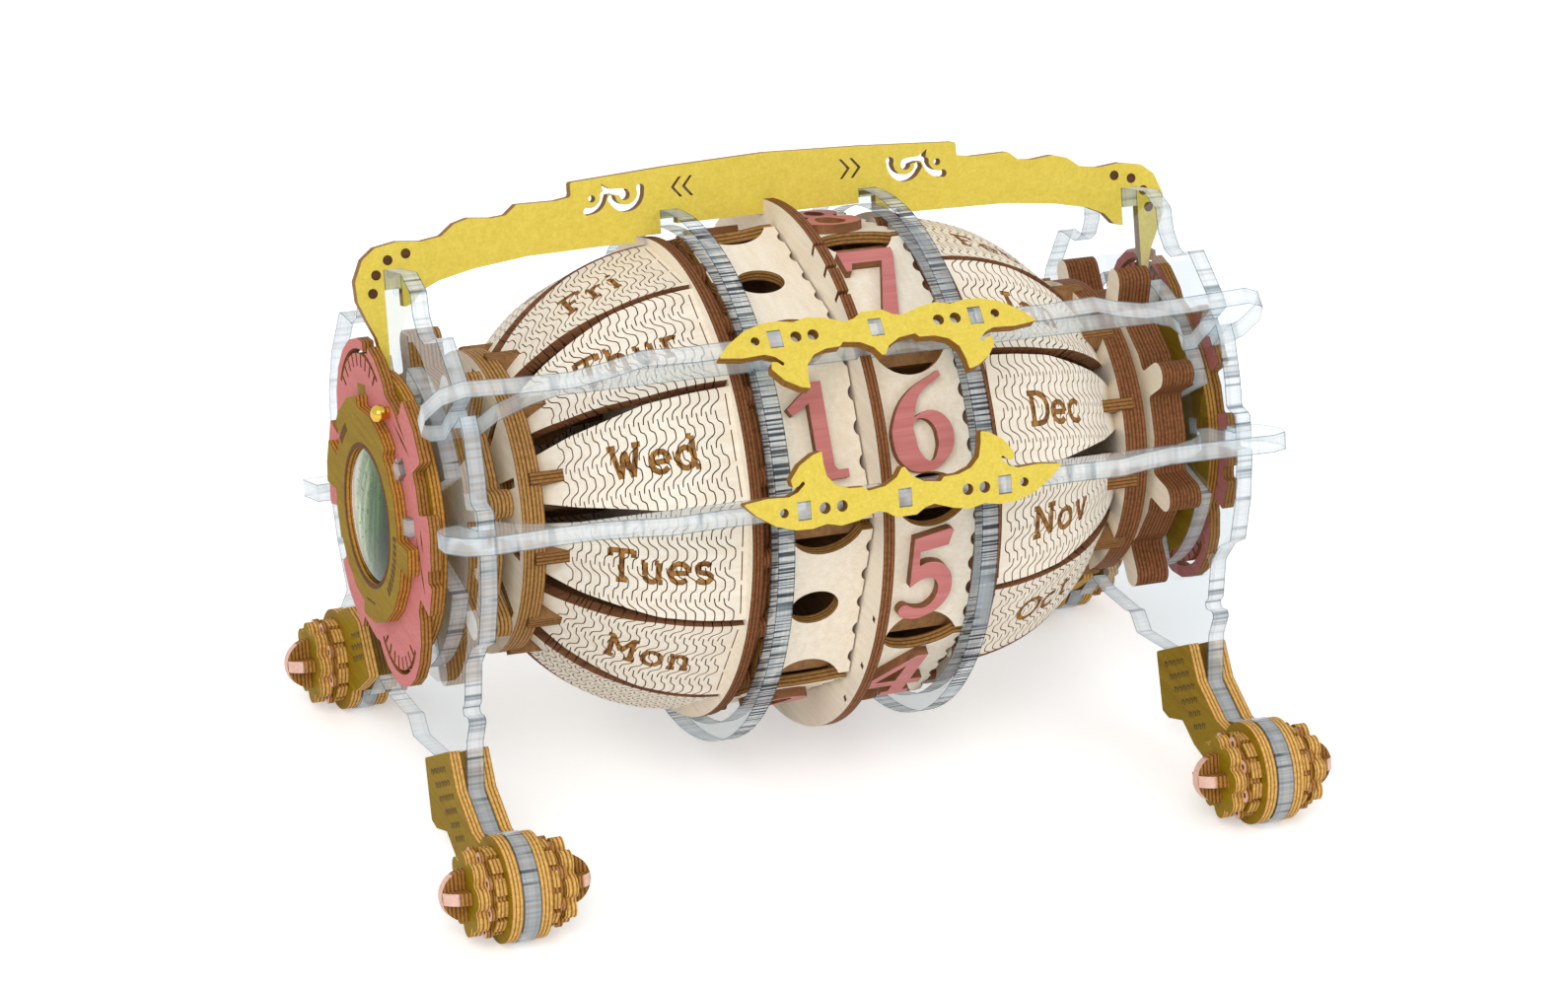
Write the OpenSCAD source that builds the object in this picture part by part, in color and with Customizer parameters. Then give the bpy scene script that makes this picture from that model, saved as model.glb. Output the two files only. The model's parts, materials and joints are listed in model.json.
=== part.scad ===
// Perpetual desk calendar: four drums on one fixed axle in an acrylic frame.
// Every drum turns by hand. All pieces are drawn about the axle (the X axis,
// front towards -Y) and then leaned back and lifted onto the feet.

/* [Frame] */
// Thickness of the washers that keep the knobs off the end plates
collar_w = 0.6; // [0.4:0.1:3]
// Backward lean of the whole frame on its feet, in degrees
lean = 18.5; // [14:0.5:23]
// Height of the axle above the desk
axis_h = 50; // [48:0.5:62]
// Level distance from the axle forward to the front feet
foot_front = 56.2; // [47:0.2:68]
// Level distance from the axle back to the rear feet
foot_back = 27.2; // [25:0.2:33]
// Radius of the round foot at the end of each leg
foot_r = 9; // [8:0.5:11]

/* [Sheet stock] */
// Thickness of the plywood sheets
ply = 2; // [1.6:0.1:2.5]
// Thickness of the acrylic sheets
acrylic = 3; // [2.5:0.1:3.6]

/* [Axle] */
// Diameter of the axle dowel
axle_d = 6; // [4:0.5:9]
// Radial running clearance of a drum on the axle
run_gap = 0.08; // [0.05:0.01:0.1]
// Clearance of one fixed piece in the slot of another
slot_gap = 0.1; // [0.05:0.05:0.15]
// Clearance between a drum and whatever stands beside it
side_gap = 0.3; // [0.2:0.05:0.4]

/* [Name drums] */
// Number of staves round a name drum
stave_n = 12; // [10:1:14]
// Radius of the barrel at the big ends of the staves
barrel_r = 38.65; // [32:0.05:47]
// Radius of the barrel at the tips of the staves
tip_r = 21.5; // [18:0.1:24]
// Length of a stave along the axle
stave_len = 30.2; // [25:0.1:37]
// Half width of a stave at its narrow end
stave_tip = 3.7; // [3:0.1:4.5]
// Distance from the big end at which the staves start to narrow
stave_full = 14; // [10:1:18]
// Radius of the hub discs
hub_r = 25.6; // [23:0.1:28]
// Length of the spacer between a hub and its knob
spacer_w = 2.6; // [2:0.1:4]
// Number of finger lobes on the turning knob
lobe_n = 8; // [6:1:9]
// Radius to the tips of the finger lobes
lobe_r = 30; // [27:0.5:33]
// Radius of the rounded end of a lobe
lobe_end = 2.3; // [1.8:0.1:3]

/* [Number drums] */
// Distance from the axle to the flats of the tens drum
tens_flat = 38.9; // [33:0.1:46]
// Distance from the axle to the flats of the units drum
units_flat = 40; // [34:0.1:48]
// Width of a number drum along the axle
number_w = 16.7; // [14:0.1:20]
// Thickness of a raised figure on a flat
figure_t = 1.6; // [1:0.1:2]
// Height of a raised figure
figure_h = 16.5; // [13:0.1:20]

/* [Rings and bars] */
// Clearance between the guard rings and the drums inside them
ring_gap = 0.44; // [0.3:0.02:1]
// Width of a guard ring, from its inner to its outer edge
ring_w = 3; // [2.4:0.1:4]
// Angle of the upper front bar above the lower one
bar_angle = 31; // [28:1:34]
// Distance from the guard rings out to the ornament plates
ornament_out = 6.4; // [6:0.1:8]
// Half length of an ornament plate
ornament_w = 28.2; // [27:0.1:30]

/* [End trim] */
// Radius of the lobed end plates
trim_r = 29; // [26:0.1:32]
// Radius of the dial plates
dial_r = 20.2; // [18:0.1:22]
// Radius of the round window in the dial plates
window_r = 11.5; // [9:0.5:14]
// Height of the crown of the lens over its rim
lens_h = 1.6; // [1:0.1:2]

/* [Hidden] */
$fn = 64;

label_a = 14.5;                           // angle of the first stave, above level front
tens_n = 8;                               // flats of the tens drum
tens_a = 15;                              // angle of its first flat
units_n = 10;                             // flats of the units drum
units_a = 14;                             // angle of its first flat

// Along the axle, outwards from the middle of the divider
number_x = ply / 2 + side_gap;            // inner end of a number drum
number_out = number_x + number_w;         // its outer end
scallop_x = number_out + side_gap;        // inner face of the scalloped disc
stave_x = scallop_x + 2 * ply;            // big ends of the staves
hub_x = stave_x + stave_len;              // inner face of the hub discs
knob_x = hub_x + 2 * ply + spacer_w;      // inner face of the knob
knob_out = knob_x + 3 * ply;              // outer face of the knob
plate_x = knob_out + side_gap + collar_w; // inner face of an end plate
plate_out = plate_x + acrylic;            // outer face of an end plate
leg_x = plate_x + acrylic / 2;            // middle of an end plate and its legs
ring_x = scallop_x - side_gap / 2;        // middle of a guard ring
dial_x = plate_out + 2 * ply;             // inner face of the dial plates

// Circle on the axle that the staves are bent to, through both of their ends
dome_x = stave_x + stave_len / 2 - (pow(barrel_r, 2) - pow(tip_r, 2)) / (2 * stave_len);
dome_r = sqrt(pow(stave_x - dome_x, 2) + pow(barrel_r, 2));
peg_x = dome_x + sqrt(pow(dome_r, 2) - pow(hub_r + 0.7, 2));  // where a rib comes through its stave
rib_r = tip_r - 6.5;                      // the ribs stop short of the axle
// Inner edge of the peg at the end of a rib, just inside its stave
peg_in = sqrt(pow(dome_r - ply - 0.05, 2) - pow(peg_x - dome_x, 2)) - 0.58;
knob_a = [7, 22.5];                       // angles of the first lobe of the left and right knob
spacer_r = 12;                            // radius of the spacer behind a knob

// Outwards from the axle
bore_r = axle_d / 2 + run_gap;            // running bore of every drum disc
fixed_r = axle_d / 2 + slot_gap / 2;      // bore of a piece that stays still
big_r = barrel_r / cos(180 / stave_n) + 1;
ring_in = ring_gap + max(big_r, tens_flat / cos(180 / tens_n), units_flat / cos(180 / units_n));
ring_out = ring_in + ring_w;
lap_r = (ring_in + ring_out) / 2;         // depth of the laps in the rings
figure_clear = norm([units_flat + figure_t, figure_h / 2]) + 0.6;
ornament_r = ring_out + ornament_out;
bar_tip = trim_r + 2;                     // the ends of the bars stay outside the end trim
plate_lap = (bar_tip + ring_out - 4.6) / 2;
tenon_x = [-17.7, 0, 17.7];               // tenons of a front bar in its ornament plate
tenon_w = 2.2;
key_r = dial_r - 3.6;                     // inner edge of the keys that hold a dial plate
key_w = 2.8;                              // width of a key, outwards from the axle
ball_at = [dial_r + 0.8, 60];             // radius and angle of the ball beside a dial

ply_slot = ply + slot_gap;                // width of a slot that takes plywood
acrylic_slot = acrylic + slot_gap;        // width of a slot that takes acrylic
card_t = 0.5;                             // thickness of the printed dial card
flat_drop = 0.25;                         // height of the flat ground under each foot
gear_r = foot_r - 1.8;
eyelet_r = foot_r - 2.6;                  // circle of the eyelets round a foot's wavy ring
rosette_r = foot_r - 3.8;                 // circle of the lobes of a rosette
cap_r = foot_r - 4.8;
cap_tab = [2.3, 1.1, ply - 0.4];          // tab of a cap plate: distance out, width, depth
pin_r = 1.5;
pin_hole = pin_r + slot_gap / 2;

// Level offsets from the axle, turned into the leaning frame
function leaned(y, z) = [y * cos(lean) - z * sin(lean), y * sin(lean) + z * cos(lean)];
foot_z = foot_r - flat_drop - axis_h;
front_foot = leaned(-foot_front, foot_z);
back_foot = leaned(foot_back, foot_z);
back_reach = (ring_out + 1.5) * cos(lean) + acrylic / 2 * sin(lean);
axis_y = (foot_front + foot_r - back_reach) / 2;

function polar(r, a) = [r * cos(a), r * sin(a)];
// As (y, z), at angle a above level front
function fore(r, a) = [-r * cos(a), r * sin(a)];
function mirrored(half) = concat(half, [for (i = [len(half) - 1 : -1 : 0]) [-half[i][0], half[i][1]]]);

module placed() { translate([0, axis_y, axis_h]) rotate([-lean, 0, 0]) children(); }
// A plate square to the axle, drawn as (y, z), from x to x + t
module cross_plate(x, t) { translate([x, 0, 0]) rotate([90, 0, 90]) linear_extrude(t) children(); }
// A plate in a plane through the axle at angle a above level front, drawn as (x, r)
module radial_plate(a, t) {
    rotate([90 - a, 0, 0]) rotate([90, 0, 0]) linear_extrude(t, center = true) children();
}
// A plate facing outwards at angle a and radius r, drawn as (x, along the circle)
module facing_plate(a, r, t) {
    rotate([-a, 0, 0]) translate([0, -r, 0]) rotate([90, 0, 0]) linear_extrude(t) children();
}
module to_side(s) { mirror([s < 0 ? 1 : 0, 0, 0]) children(); }
// Softens the corners of an outline
module soft(r) { offset(r, $fn = 20) offset(-2 * r, $fn = 20) offset(r, $fn = 20) children(); }

// ---- Frame ----

// Slot from radius r outwards, at angle a above level front, as (y, z)
module rim_slot(a, r, w, long = 20) { rotate(180 - a) translate([r, -w / 2]) square([long, w]); }

// Slice of a disc between two angles above level front, as (y, z)
module fan(r, a0, a1) {
    intersection() {
        circle(r);
        polygon([[0, 0], fore(2 * r, a0), fore(2 * r, (a0 + a1) / 2), fore(2 * r, a1)]);
    }
}

// Half outline of the body of an end plate, as (y, z), drawn for guard rings of 45.5
plate_half = [[-10, 40.6], [-14.5, 37.8], [-15, 34], [-17, 31], [-19.5, 29.8], [-26.3, 31.4],
    [-33, 24], [-36.5, 17], [-37.6, 9.5], [-37.6, 5.6], [-40.6, 4.4], [-40.4, -3], [-39, -10],
    [-36, -17.5], [-32, -18.8], [-28, -22], [-27, -25.5], [-26, -29], [-18, -33], [-8, -35.5]];
function grown(points) = [for (p = points) p * ring_out / 45.5];

module end_plate_outline() {
    f = front_foot;
    b = back_foot;
    soft(0.8) {
        polygon(concat(grown(plate_half), [for (i = [len(plate_half) - 1 : -1 : 0])
            let (p = grown(plate_half)[i]) [-p[0], p[1]]]));
        polygon(concat(grown([[-8.4, -30], [-28.3, -31], [-25.4, -35.3]]),
            [f + [16.3, 13.2], f + [9.8, 7.3], f + [-3, 8], f + [2, -6], f + [11, 0],
            f + [20.8, 3.4], f + [30.3, 5.7], f + [31.9, 16.4], f + [44, 18]], grown([[10, -30]])));
        polygon(concat(grown([[37, -12], [12, -20], [12, -30.5]]),
            [b + [-20.3, 1.9], b + [-11, -5], b + [0, -4], b + [4, 7], b + [-4.4, 13.3]]));
    }
    translate(f) circle(foot_r);
    translate(b) circle(foot_r);
}

// Curved window between two angles
module sector_window(r_in, r_out, a0, a1) {
    mid = (a0 + a1) / 2;
    difference() {
        intersection() {
            circle(r_out);
            polygon([[0, 0], polar(2 * r_out, a0), polar(2.4 * r_out, mid), polar(2 * r_out, a1)]);
        }
        circle(r_in);
    }
}

// Ground flat under a foot, as (y, z) in the leaning frame
module floor_cut() {
    rotate(lean) translate([-100, -axis_h - 20]) square([200, 20]);
}

module end_plate(s) {
    color([0.85, 0.92, 0.95, 0.5]) placed() to_side(s) cross_plate(plate_x, acrylic) difference() {
        end_plate_outline();
        circle(fixed_r);
        for (a = [20, 110, 205, 290]) sector_window(15, trim_r - 2.5, a, a + 52);
        for (a = [0, bar_angle, 180]) rim_slot(a, plate_lap, acrylic_slot);
        rim_slot(90, ring_out - 8.3, ply_slot);
        translate(front_foot) circle(pin_hole);
        translate(back_foot) circle(pin_hole);
        floor_cut();
    }
}

// Half outline of the handle board, from the middle of its top edge, as (x, z)
handle_half = let (e = leg_x, r = ring_out) [[0, r + 7.8], [18, r + 7.2], [35.3, r + 6.2], [35.3, r + 3.8],
    [38, r + 3.4], [45, r + 3.5], [47, r + 1.9], [e - 18, r + 1.7], [e - 14, r + 2.1], [e - 11.4, r + 1.4],
    [e - 9, r - 0.4], [e - 5.5, r - 0.9], [e - 1.3, r - 0.5], [e + 2.7, r - 1.2], [e + 5, r - 3],
    [e + 6.5, r - 6.5], [e + 6.3, r - 9.9], [e + 5, r - 13], [e + 3.5, r - 16.2],
    [e + 2.7, min(r - 20, trim_r - 3.4)], [plate_out, trim_r - 6.95], [plate_x + 0.1, r - 10.4],
    [e - 1.8, r - 11.4], [e - 3.2, r - 11], [e - 5, r - 9], [e - 8, r - 7.7], [e - 14, r - 6.4],
    [43.7, r - 5.3], [28, r - 5]];

// Stroke along part of a circle with a bead at each end: centre, radius, width, from, to
module curl(c, r, w, a0, a1) {
    translate(c) {
        difference() {
            circle(r + w / 2);
            circle(r - w / 2);
            polygon([[0, 0], polar(3 * r, a1), polar(4 * r, (a0 + a1) / 2 + 180), polar(3 * r, a0)]);
        }
        for (a = [a0, a1]) translate(polar(r, a)) circle(w / 2 + 0.12);
    }
}

// Scroll cut through the handle board, drawn for its left half
module scroll_cut() {
    translate([-3.1, 0.3]) circle(0.6);
    curl([-3.6, 0.9], 2.7, 1.1, 260, 355);
    polygon([[-1.3, 2.7], [-0.5, 2.1], [0.4, 1.6], [2.6, 1.5],
        [3.5, 1.2], [2.2, 0.3], [0.7, 0.7], [-0.9, 0.7]]);
    translate([2.8, 0.4]) circle(0.9);
    curl([3, 0.8], 2.7, 1.2, 200, 370);
}

module handle() {
    color("goldenrod") placed() radial_plate(90, ply) difference() {
        soft(0.5) polygon(mirrored(handle_half));
        for (s = [-1, 1]) {
            // Laps for the end plate and the ring, and room for the drums that pass underneath
            translate([s * leg_x - acrylic_slot / 2, 0]) square([acrylic_slot, ring_out - 8.3]);
            translate([s * ring_x - acrylic_slot / 2, 0]) square([acrylic_slot, lap_r]);
            translate([s * (stave_x + scallop_x) / 2 - ply - 2, 0]) square([2 * ply + 4, big_r + 0.5]);
            translate([s > 0 ? 0 : -ring_x, 0]) square([ring_x, figure_clear]);
            for (p = [[3.6, -8.7], [2.8, -5.7], [0.6, -3.4], [-2.6, -2.6]])
                translate([s * (leg_x + p[0]), ring_out + p[1]]) circle(0.85);
            translate([s * 28.5, ring_out + 2.8]) mirror([s > 0 ? 1 : 0, 0]) scroll_cut();
            for (d = [13.4, 15.4]) translate([s * d, ring_out + 3.6]) mirror([s < 0 ? 1 : 0, 0])
                polygon([[0, 1.7], [1.4, 0], [0, -1.7], [0.5, -1.7], [2, 0], [0.5, 1.7]]);
        }
        translate([-ply_slot / 2, 0]) square([ply_slot, lap_r - 1]);
    }
}

module guard_ring(s) {
    color([0.85, 0.92, 0.95, 0.5]) placed() to_side(s) cross_plate(ring_x - acrylic / 2, acrylic)
        difference() {
            circle(ring_out, $fn = 120);
            circle(ring_in, $fn = 120);
            for (a = [0, bar_angle, 180]) rim_slot(a, lap_r, acrylic_slot);
            rim_slot(90, lap_r, ply_slot);
        }
}

module divider() {
    color("burlywood") placed() cross_plate(-ply / 2, ply) difference() {
        circle(ring_out, $fn = 120);
        circle(fixed_r);
        for (a = [0, bar_angle, 180]) rim_slot(a, lap_r, acrylic_slot);
        rim_slot(90, lap_r - 1, ply_slot);
        for (a = [44.5, 52, 59.5], b = [a, 180 - a]) rim_slot(b, ring_out - 2.2, 0.8);
        for (a = [30, 44.4, 58.8], b = [-a, 180 + a]) rim_slot(b, ring_out - 2, 1, 1);
    }
}

// Half outline of a front bar, from the middle of its outer edge, as (x, r)
front_bar_half = let (e = leg_x, r = ring_out, o = ornament_r - ply / 2 - slot_gap) [
    [ornament_w + 0.2, o], [ornament_w + 2.3, r + 5.1], [40, r + 5.9], [45, r + 3.1],
    [e - 16.5, r + 0.7], [e - 8, r + 1.1], [e + 2.1, r + 2.1], [e + 5.5, r - 0.1],
    [e + 7.1, r - 5.5], [e + 6.3, bar_tip + 3], [e + 4.1, bar_tip + 0.5], [e - 3.9, bar_tip - 0.4],
    [e - 6, lobe_r + 6.5], [e - 10.5, r - 3.8], [e - 14.5, lap_r]];

module bar_laps() {
    for (s = [-1, 1]) {
        translate([s * ring_x - acrylic_slot / 2, 0]) square([acrylic_slot, lap_r + 0.3]);
        translate([s * leg_x - acrylic_slot / 2, 0]) square([acrylic_slot, plate_lap + 0.1]);
    }
    translate([-ply_slot / 2, 0]) square([ply_slot, lap_r + 0.3]);
}

module front_bar(a) {
    color([0.85, 0.92, 0.95, 0.5]) placed() radial_plate(a, acrylic) {
        difference() {
            soft(0.6) polygon(mirrored(front_bar_half));
            bar_laps();
        }
        // Tenons through the ornament plate
        for (x = tenon_x) translate([x - tenon_w / 2, ornament_r - 3])
            square([tenon_w, 3 + ply / 2]);
    }
}

module bar_back() {
    half = let (r = ring_out) [[leg_x - 7.5, r + 1.5], [leg_x - 3.5, r - 3], [plate_out + 5, r - 5.5],
        [plate_out + 5, bar_tip + 0.5], [leg_x - 3, bar_tip + 0.5], [leg_x - 4.5, r - 6],
        [leg_x - 12.5, lap_r]];
    color([0.85, 0.92, 0.95, 0.5]) placed() radial_plate(180, acrylic) difference() {
        polygon(mirrored(half));
        bar_laps();
    }
}

// Half outline of an ornament plate, hooks upwards, as (x, height over its bar)
ornament_half = [[0.3, 5], [1.3, 3.5], [3.4, 2.3], [6.4, 1.9], [7, 2.6], [9.6, 2.7], [11.9, 3.5],
    [13.4, 5.1], [13.9, 7.4], [14, 9.3], [15.6, 8.9], [18, 7.4], [19.7, 5.2], [19.4, 3.9], [18.4, 4.1],
    [17.6, 4.9], [17.2, 4.4], [18.6, 3.1], [20.2, 2.5], [24, 2.7], [ornament_w, 2.2], [26, 0.1],
    [22.7, -2], [19.3, -3], [16.5, -3.1], [13.9, -2.6], [11.4, -3.2], [8.3, -2.7], [5, -1.6], [3.4, -2],
    [1.8, -3]];

module ornament(a, up) {
    color("goldenrod") placed() facing_plate(a, ornament_r - ply / 2, ply) scale([1, up]) difference() {
        soft(0.25) polygon(mirrored(ornament_half));
        for (x = tenon_x) translate([x - tenon_w / 2 - slot_gap / 2, -acrylic_slot / 2])
            square([tenon_w + slot_gap, acrylic_slot]);
        for (p = [[11.1, 0.95], [14.1, 0.95], [21.2, 0.75]], s = [-1, 1])
            translate([s * p[0], 0]) circle(p[1]);
    }
}

// ---- Axle ----

module axle() {
    color("tan") placed() rotate([0, 90, 0])
        cylinder(h = 2 * (dial_x - 0.6), r = axle_d / 2, center = true);
}

module axle_collars() {
    color("tan") placed() for (s = [-1, 1]) to_side(s) cross_plate(knob_out + side_gap, collar_w)
        difference() {
            circle(axle_d / 2 + 4);
            circle(fixed_r);
        }
}

// ---- End trim ----

module scalloped(r, n, depth) {
    difference() {
        circle(r, $fn = 96);
        for (i = [0 : n - 1]) translate(polar(r + depth * 1.6, 360 / n * (i + 0.5))) circle(depth * 3);
    }
}

// Slots for the two keys that hold a dial plate
module key_slots() {
    for (a = [0, bar_angle]) rim_slot(a, key_r - slot_gap / 2, acrylic_slot, key_w + slot_gap);
}

// Comb cut along an arc, with its teeth pointing inwards
module comb(r, a0, a1, teeth) {
    difference() {
        fan(r + 0.4, a0, a1);
        circle(r - 0.4);
    }
    for (i = [0 : teeth - 1])
        rim_slot(a0 + (a1 - a0) * (i + 0.5) / teeth, r - 2.6, 0.6, 2.6);
}

// Thin pointed cut between two points
module dart(p, q) {
    side = [p[1] - q[1], q[0] - p[0]] / norm(q - p) * 0.35;
    polygon([p, (p + q) / 2 + side, q, (p + q) / 2 - side]);
}

upper_lobe = [4.2, trim_r - 14.7];        // centres of the two big lobes of a trim plate
lower_lobe = [-5.8, 13.3 - trim_r];

module trim_outline() {
    soft(0.5) {
        circle(trim_r - 6);
        translate(upper_lobe) circle(15);
        translate(lower_lobe) circle(12.7);
        for (f = [[0.8, 24, 49], [1.5, -14, 6], [1, -31, -19], [1.5, 150, 183], [3.2, 205, 236]])
            fan(trim_r - f[0], f[1], f[2]);
        fan(trim_r - 3, -20, 0);
    }
}

module trim_back(s) {
    color("darkgoldenrod") placed() to_side(s) {
        cross_plate(plate_out, ply) difference() {
            circle(trim_r - 5);
            circle(fixed_r);
            rim_slot(90, trim_r - 9, ply_slot + 0.4);
            key_slots();
        }
        // Tab that shows through the trim plate
        cross_plate(plate_out + ply, ply) translate([3.7, trim_r - 8.5]) square([4.2, 2], center = true);
    }
}

module trim_plate(s) {
    color("indianred") placed() to_side(s) cross_plate(plate_out + ply, ply) difference() {
        trim_outline();
        circle(fixed_r);
        rim_slot(90, trim_r - 2, ply_slot + 0.4);
        key_slots();
        translate([3.7, trim_r - 8.5]) square([4.2 + slot_gap, 2 + slot_gap], center = true);
        translate(upper_lobe) comb(12.8, 42, 148, 9);
        translate(lower_lobe) comb(10.2, 212, 328, 8);
        dart([-13, trim_r - 10], [-18.4, trim_r - 15]);
        dart([-12.4, trim_r - 12.2], [-20.2, trim_r - 17.4]);
        dart([-20, -1], [-21.4, -6.5]);
        dart([-21, -5], [-22.4, -11]);
        dart([-22.6, 0.5], [-23, -4]);
    }
}

// Steps of the rim of a dial plate: depth below its full radius, from, to
dial_steps = [[0, 92, 134], [-1.8, 150, 171], [-1.4, -22, -9], [2, -110, -9], [3.2, 130, 200], [2, 44, 95]];

module dial_plate(s) {
    color("olive") placed() to_side(s) cross_plate(dial_x, ply) difference() {
        soft(0.4) {
            circle(dial_r - 4);
            for (f = dial_steps) fan(dial_r - f[0], f[1], f[2]);
        }
        circle(window_r + slot_gap / 2);
        translate(fore(ball_at[0], ball_at[1])) circle(3);
    }
}

module dial_face(s) {
    color("honeydew") placed() to_side(s) cross_plate(dial_x, card_t) circle(window_r - slot_gap);
}

module lens(s) {
    crown_r = (pow(window_r, 2) + pow(lens_h, 2)) / (2 * lens_h);
    rim = 0.8;
    color([0.7, 0.9, 0.8, 0.4]) placed() to_side(s) translate([dial_x + card_t, 0, 0]) rotate([0, 90, 0])
        rotate_extrude() intersection() {
            translate([0, rim + lens_h - crown_r]) circle(crown_r, $fn = 200);
            square([window_r, rim + lens_h]);
        }
}

module ball_pins() {
    p = fore(ball_at[0], ball_at[1]);
    color("gold") placed() for (s = [-1, 1]) to_side(s) {
        translate([dial_x, p[0], p[1]]) rotate([0, 90, 0]) cylinder(h = 1, r = 1);
        translate([dial_x + 1.6, p[0], p[1]]) sphere(1.5);
    }
}

// Clear keys that pass through both trim plates and stand beside the dial plate
module dial_keys() {
    color([0.85, 0.92, 0.95, 0.5]) placed() for (s = [-1, 1], a = [0, bar_angle]) to_side(s)
        cross_plate(plate_out, 2 * ply + 1) rim_slot(a, key_r, acrylic, key_w);
}

// ---- Feet ----

// Boots round a front and a rear leg, relative to the centre of the foot
front_boot = [[18.8, 19.7], [31.9, 16.6], [30.9, 6.2], [28.5, 5.2], [23, 5.6], [19, 2], [9, -3],
    [-4, 3], [9.8, 7.6], [16.2, 13.4]];
back_boot = [[-14, 8.4], [-18.4, -0.6], [-12, -3.4], [-9, -4.4], [0, -4], [2, 6], [-3, 8.6], [-9, 10.4]];

module boot(front) {
    difference() {
        union() {
            soft(0.6) polygon(front ? front_boot : back_boot);
            circle(foot_r - 0.2);
        }
        circle(pin_hole);
    }
}

// Puts a foot piece drawn outwards from the leg face on both faces of one leg
module on_leg(s, front) {
    c = front ? front_foot : back_foot;
    placed() to_side(s) for (m = [0, 1])
        translate([leg_x, c[0], c[1]]) mirror([m, 0, 0]) translate([acrylic / 2, 0, 0]) children();
}

module cladding(s, front) {
    color("darkgoldenrod") difference() {
        on_leg(s, front) cross_plate(0, ply) boot(front);
        translate([-100, -100, -20]) cube([200, 200, 20.02]);
    }
}

module cog(r, n) {
    difference() {
        circle(r);
        for (i = [0 : n - 1]) rotate(360 / n * i) translate([r - 1, -0.5]) square([2, 1]);
    }
}

module foot_gears(s, front) {
    c = front ? front_foot : back_foot;
    pin_l = acrylic + 7 * ply;
    color("darkgoldenrod") {
        on_leg(s, front) cross_plate(ply, ply) difference() {
            cog(gear_r, 12);
            circle(pin_hole);
        }
        placed() to_side(s) translate([leg_x, c[0], c[1]]) rotate([0, 90, 0])
            cylinder(h = pin_l, r = pin_r, center = true);
    }
}

module rosette() {
    difference() {
        union() {
            circle(rosette_r + 0.5);
            for (i = [0 : 7]) translate(polar(rosette_r, 45 * i)) circle(1.9);
        }
        circle(pin_hole);
        for (i = [0 : 3]) rotate(90 * i) translate([cap_tab[0] - slot_gap / 2, -ply_slot / 2])
            square([cap_tab[1] + slot_gap, ply_slot]);
    }
}

module foot_rosettes(s, front) {
    color("olive") on_leg(s, front) cross_plate(2.5 * ply, ply) rosette();
}

// Half-round plate of a cap, as (out from the rosette, across), lapped with its partner
module cap_plate(outer_lap) {
    lap = cap_r / 2;
    difference() {
        union() {
            intersection() {
                circle(cap_r);
                translate([0, -cap_r]) square([cap_r, 2 * cap_r]);
            }
            for (m = [0, 1]) mirror([0, m]) translate([-cap_tab[2], cap_tab[0]])
                square([cap_tab[2] + 1, cap_tab[1]]);
        }
        translate([outer_lap ? lap - slot_gap / 2 : -1, -ply_slot / 2])
            square([outer_lap ? lap + 1 : lap + 1 + slot_gap / 2, ply_slot]);
    }
}

// Two crossed half-round plates on each rosette, and the thin wavy ring behind it
module foot_caps(s, front) {
    color("pink") on_leg(s, front) {
        translate([3.5 * ply, 0, 0]) for (turn = [0, 90]) rotate([turn, 0, 0])
            linear_extrude(ply, center = true) cap_plate(turn == 0);
        cross_plate(2 * ply, ply / 2) difference() {
            union() {
                circle(eyelet_r);
                for (i = [0 : 7]) translate(polar(eyelet_r, 45 * i + 22.5)) circle(1.2);
            }
            for (i = [0 : 7]) translate(polar(eyelet_r, 45 * i + 22.5)) circle(0.5);
            circle(pin_hole);
        }
    }
}

// ---- Name drums, drawn on the right-hand side ----

module stave_profile() {
    intersection() {
        translate([dome_x, 0]) difference() {
            circle(dome_r, $fn = 120);
            circle(dome_r - ply, $fn = 120);
        }
        translate([stave_x, 0]) square([hub_x - stave_x, dome_r + 1]);
    }
}

// Outline of a stave seen from above, as (x, width), split at its tip for the rib
module stave_plan() {
    inner_r = dome_r - ply;
    big = (barrel_r - ply) * tan(180 / stave_n) - 0.05;
    full_x = stave_x + stave_full;
    full = sqrt(pow(inner_r, 2) - pow(full_x - dome_x, 2)) * tan(180 / stave_n) - 0.05;
    half = [[stave_x, big], [stave_x + stave_full / 2, (big + full) / 2 + 0.15], [full_x, full],
        [full_x + 6, full - 1.6], [hub_x - 5, stave_tip + 2.1], [hub_x, stave_tip]];
    difference() {
        polygon(concat(half, [for (i = [len(half) - 1 : -1 : 0]) [half[i][0], -half[i][1]]]));
        translate([peg_x - slot_gap, -ply_slot / 2]) square([20, ply_slot]);
    }
}

module staves(s) {
    color("wheat") placed() to_side(s) for (i = [0 : stave_n - 1])
        rotate([-label_a - 360 / stave_n * i, 0, 0]) intersection() {
            radial_plate(0, 3 * dome_r / 2) stave_profile();
            rotate([90, 0, 0]) linear_extrude(dome_r + 2) stave_plan();
        }
}

module big_disc(s) {
    color("sienna") placed() to_side(s) cross_plate(scallop_x + ply, ply) difference() {
        circle(big_r, $fn = 120);
        circle(bore_r);
    }
}

module scallop_disc(s) {
    color("sienna") placed() to_side(s) cross_plate(scallop_x, ply) difference() {
        scalloped(big_r, 48, 0.5);
        circle(bore_r);
    }
}

module hub_discs(s) {
    color("burlywood") placed() to_side(s) for (i = [0, 1]) cross_plate(hub_x + i * ply, ply)
        difference() {
            circle(hub_r);
            circle(bore_r);
            for (k = [0 : stave_n - 1]) {
                a = label_a + 360 / stave_n * k;
                if (i == 0) rim_slot(a, peg_in - 0.2, ply_slot);
                else rim_slot(a, hub_r - 9.5, 1.6, 7.8);
            }
        }
}

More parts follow.
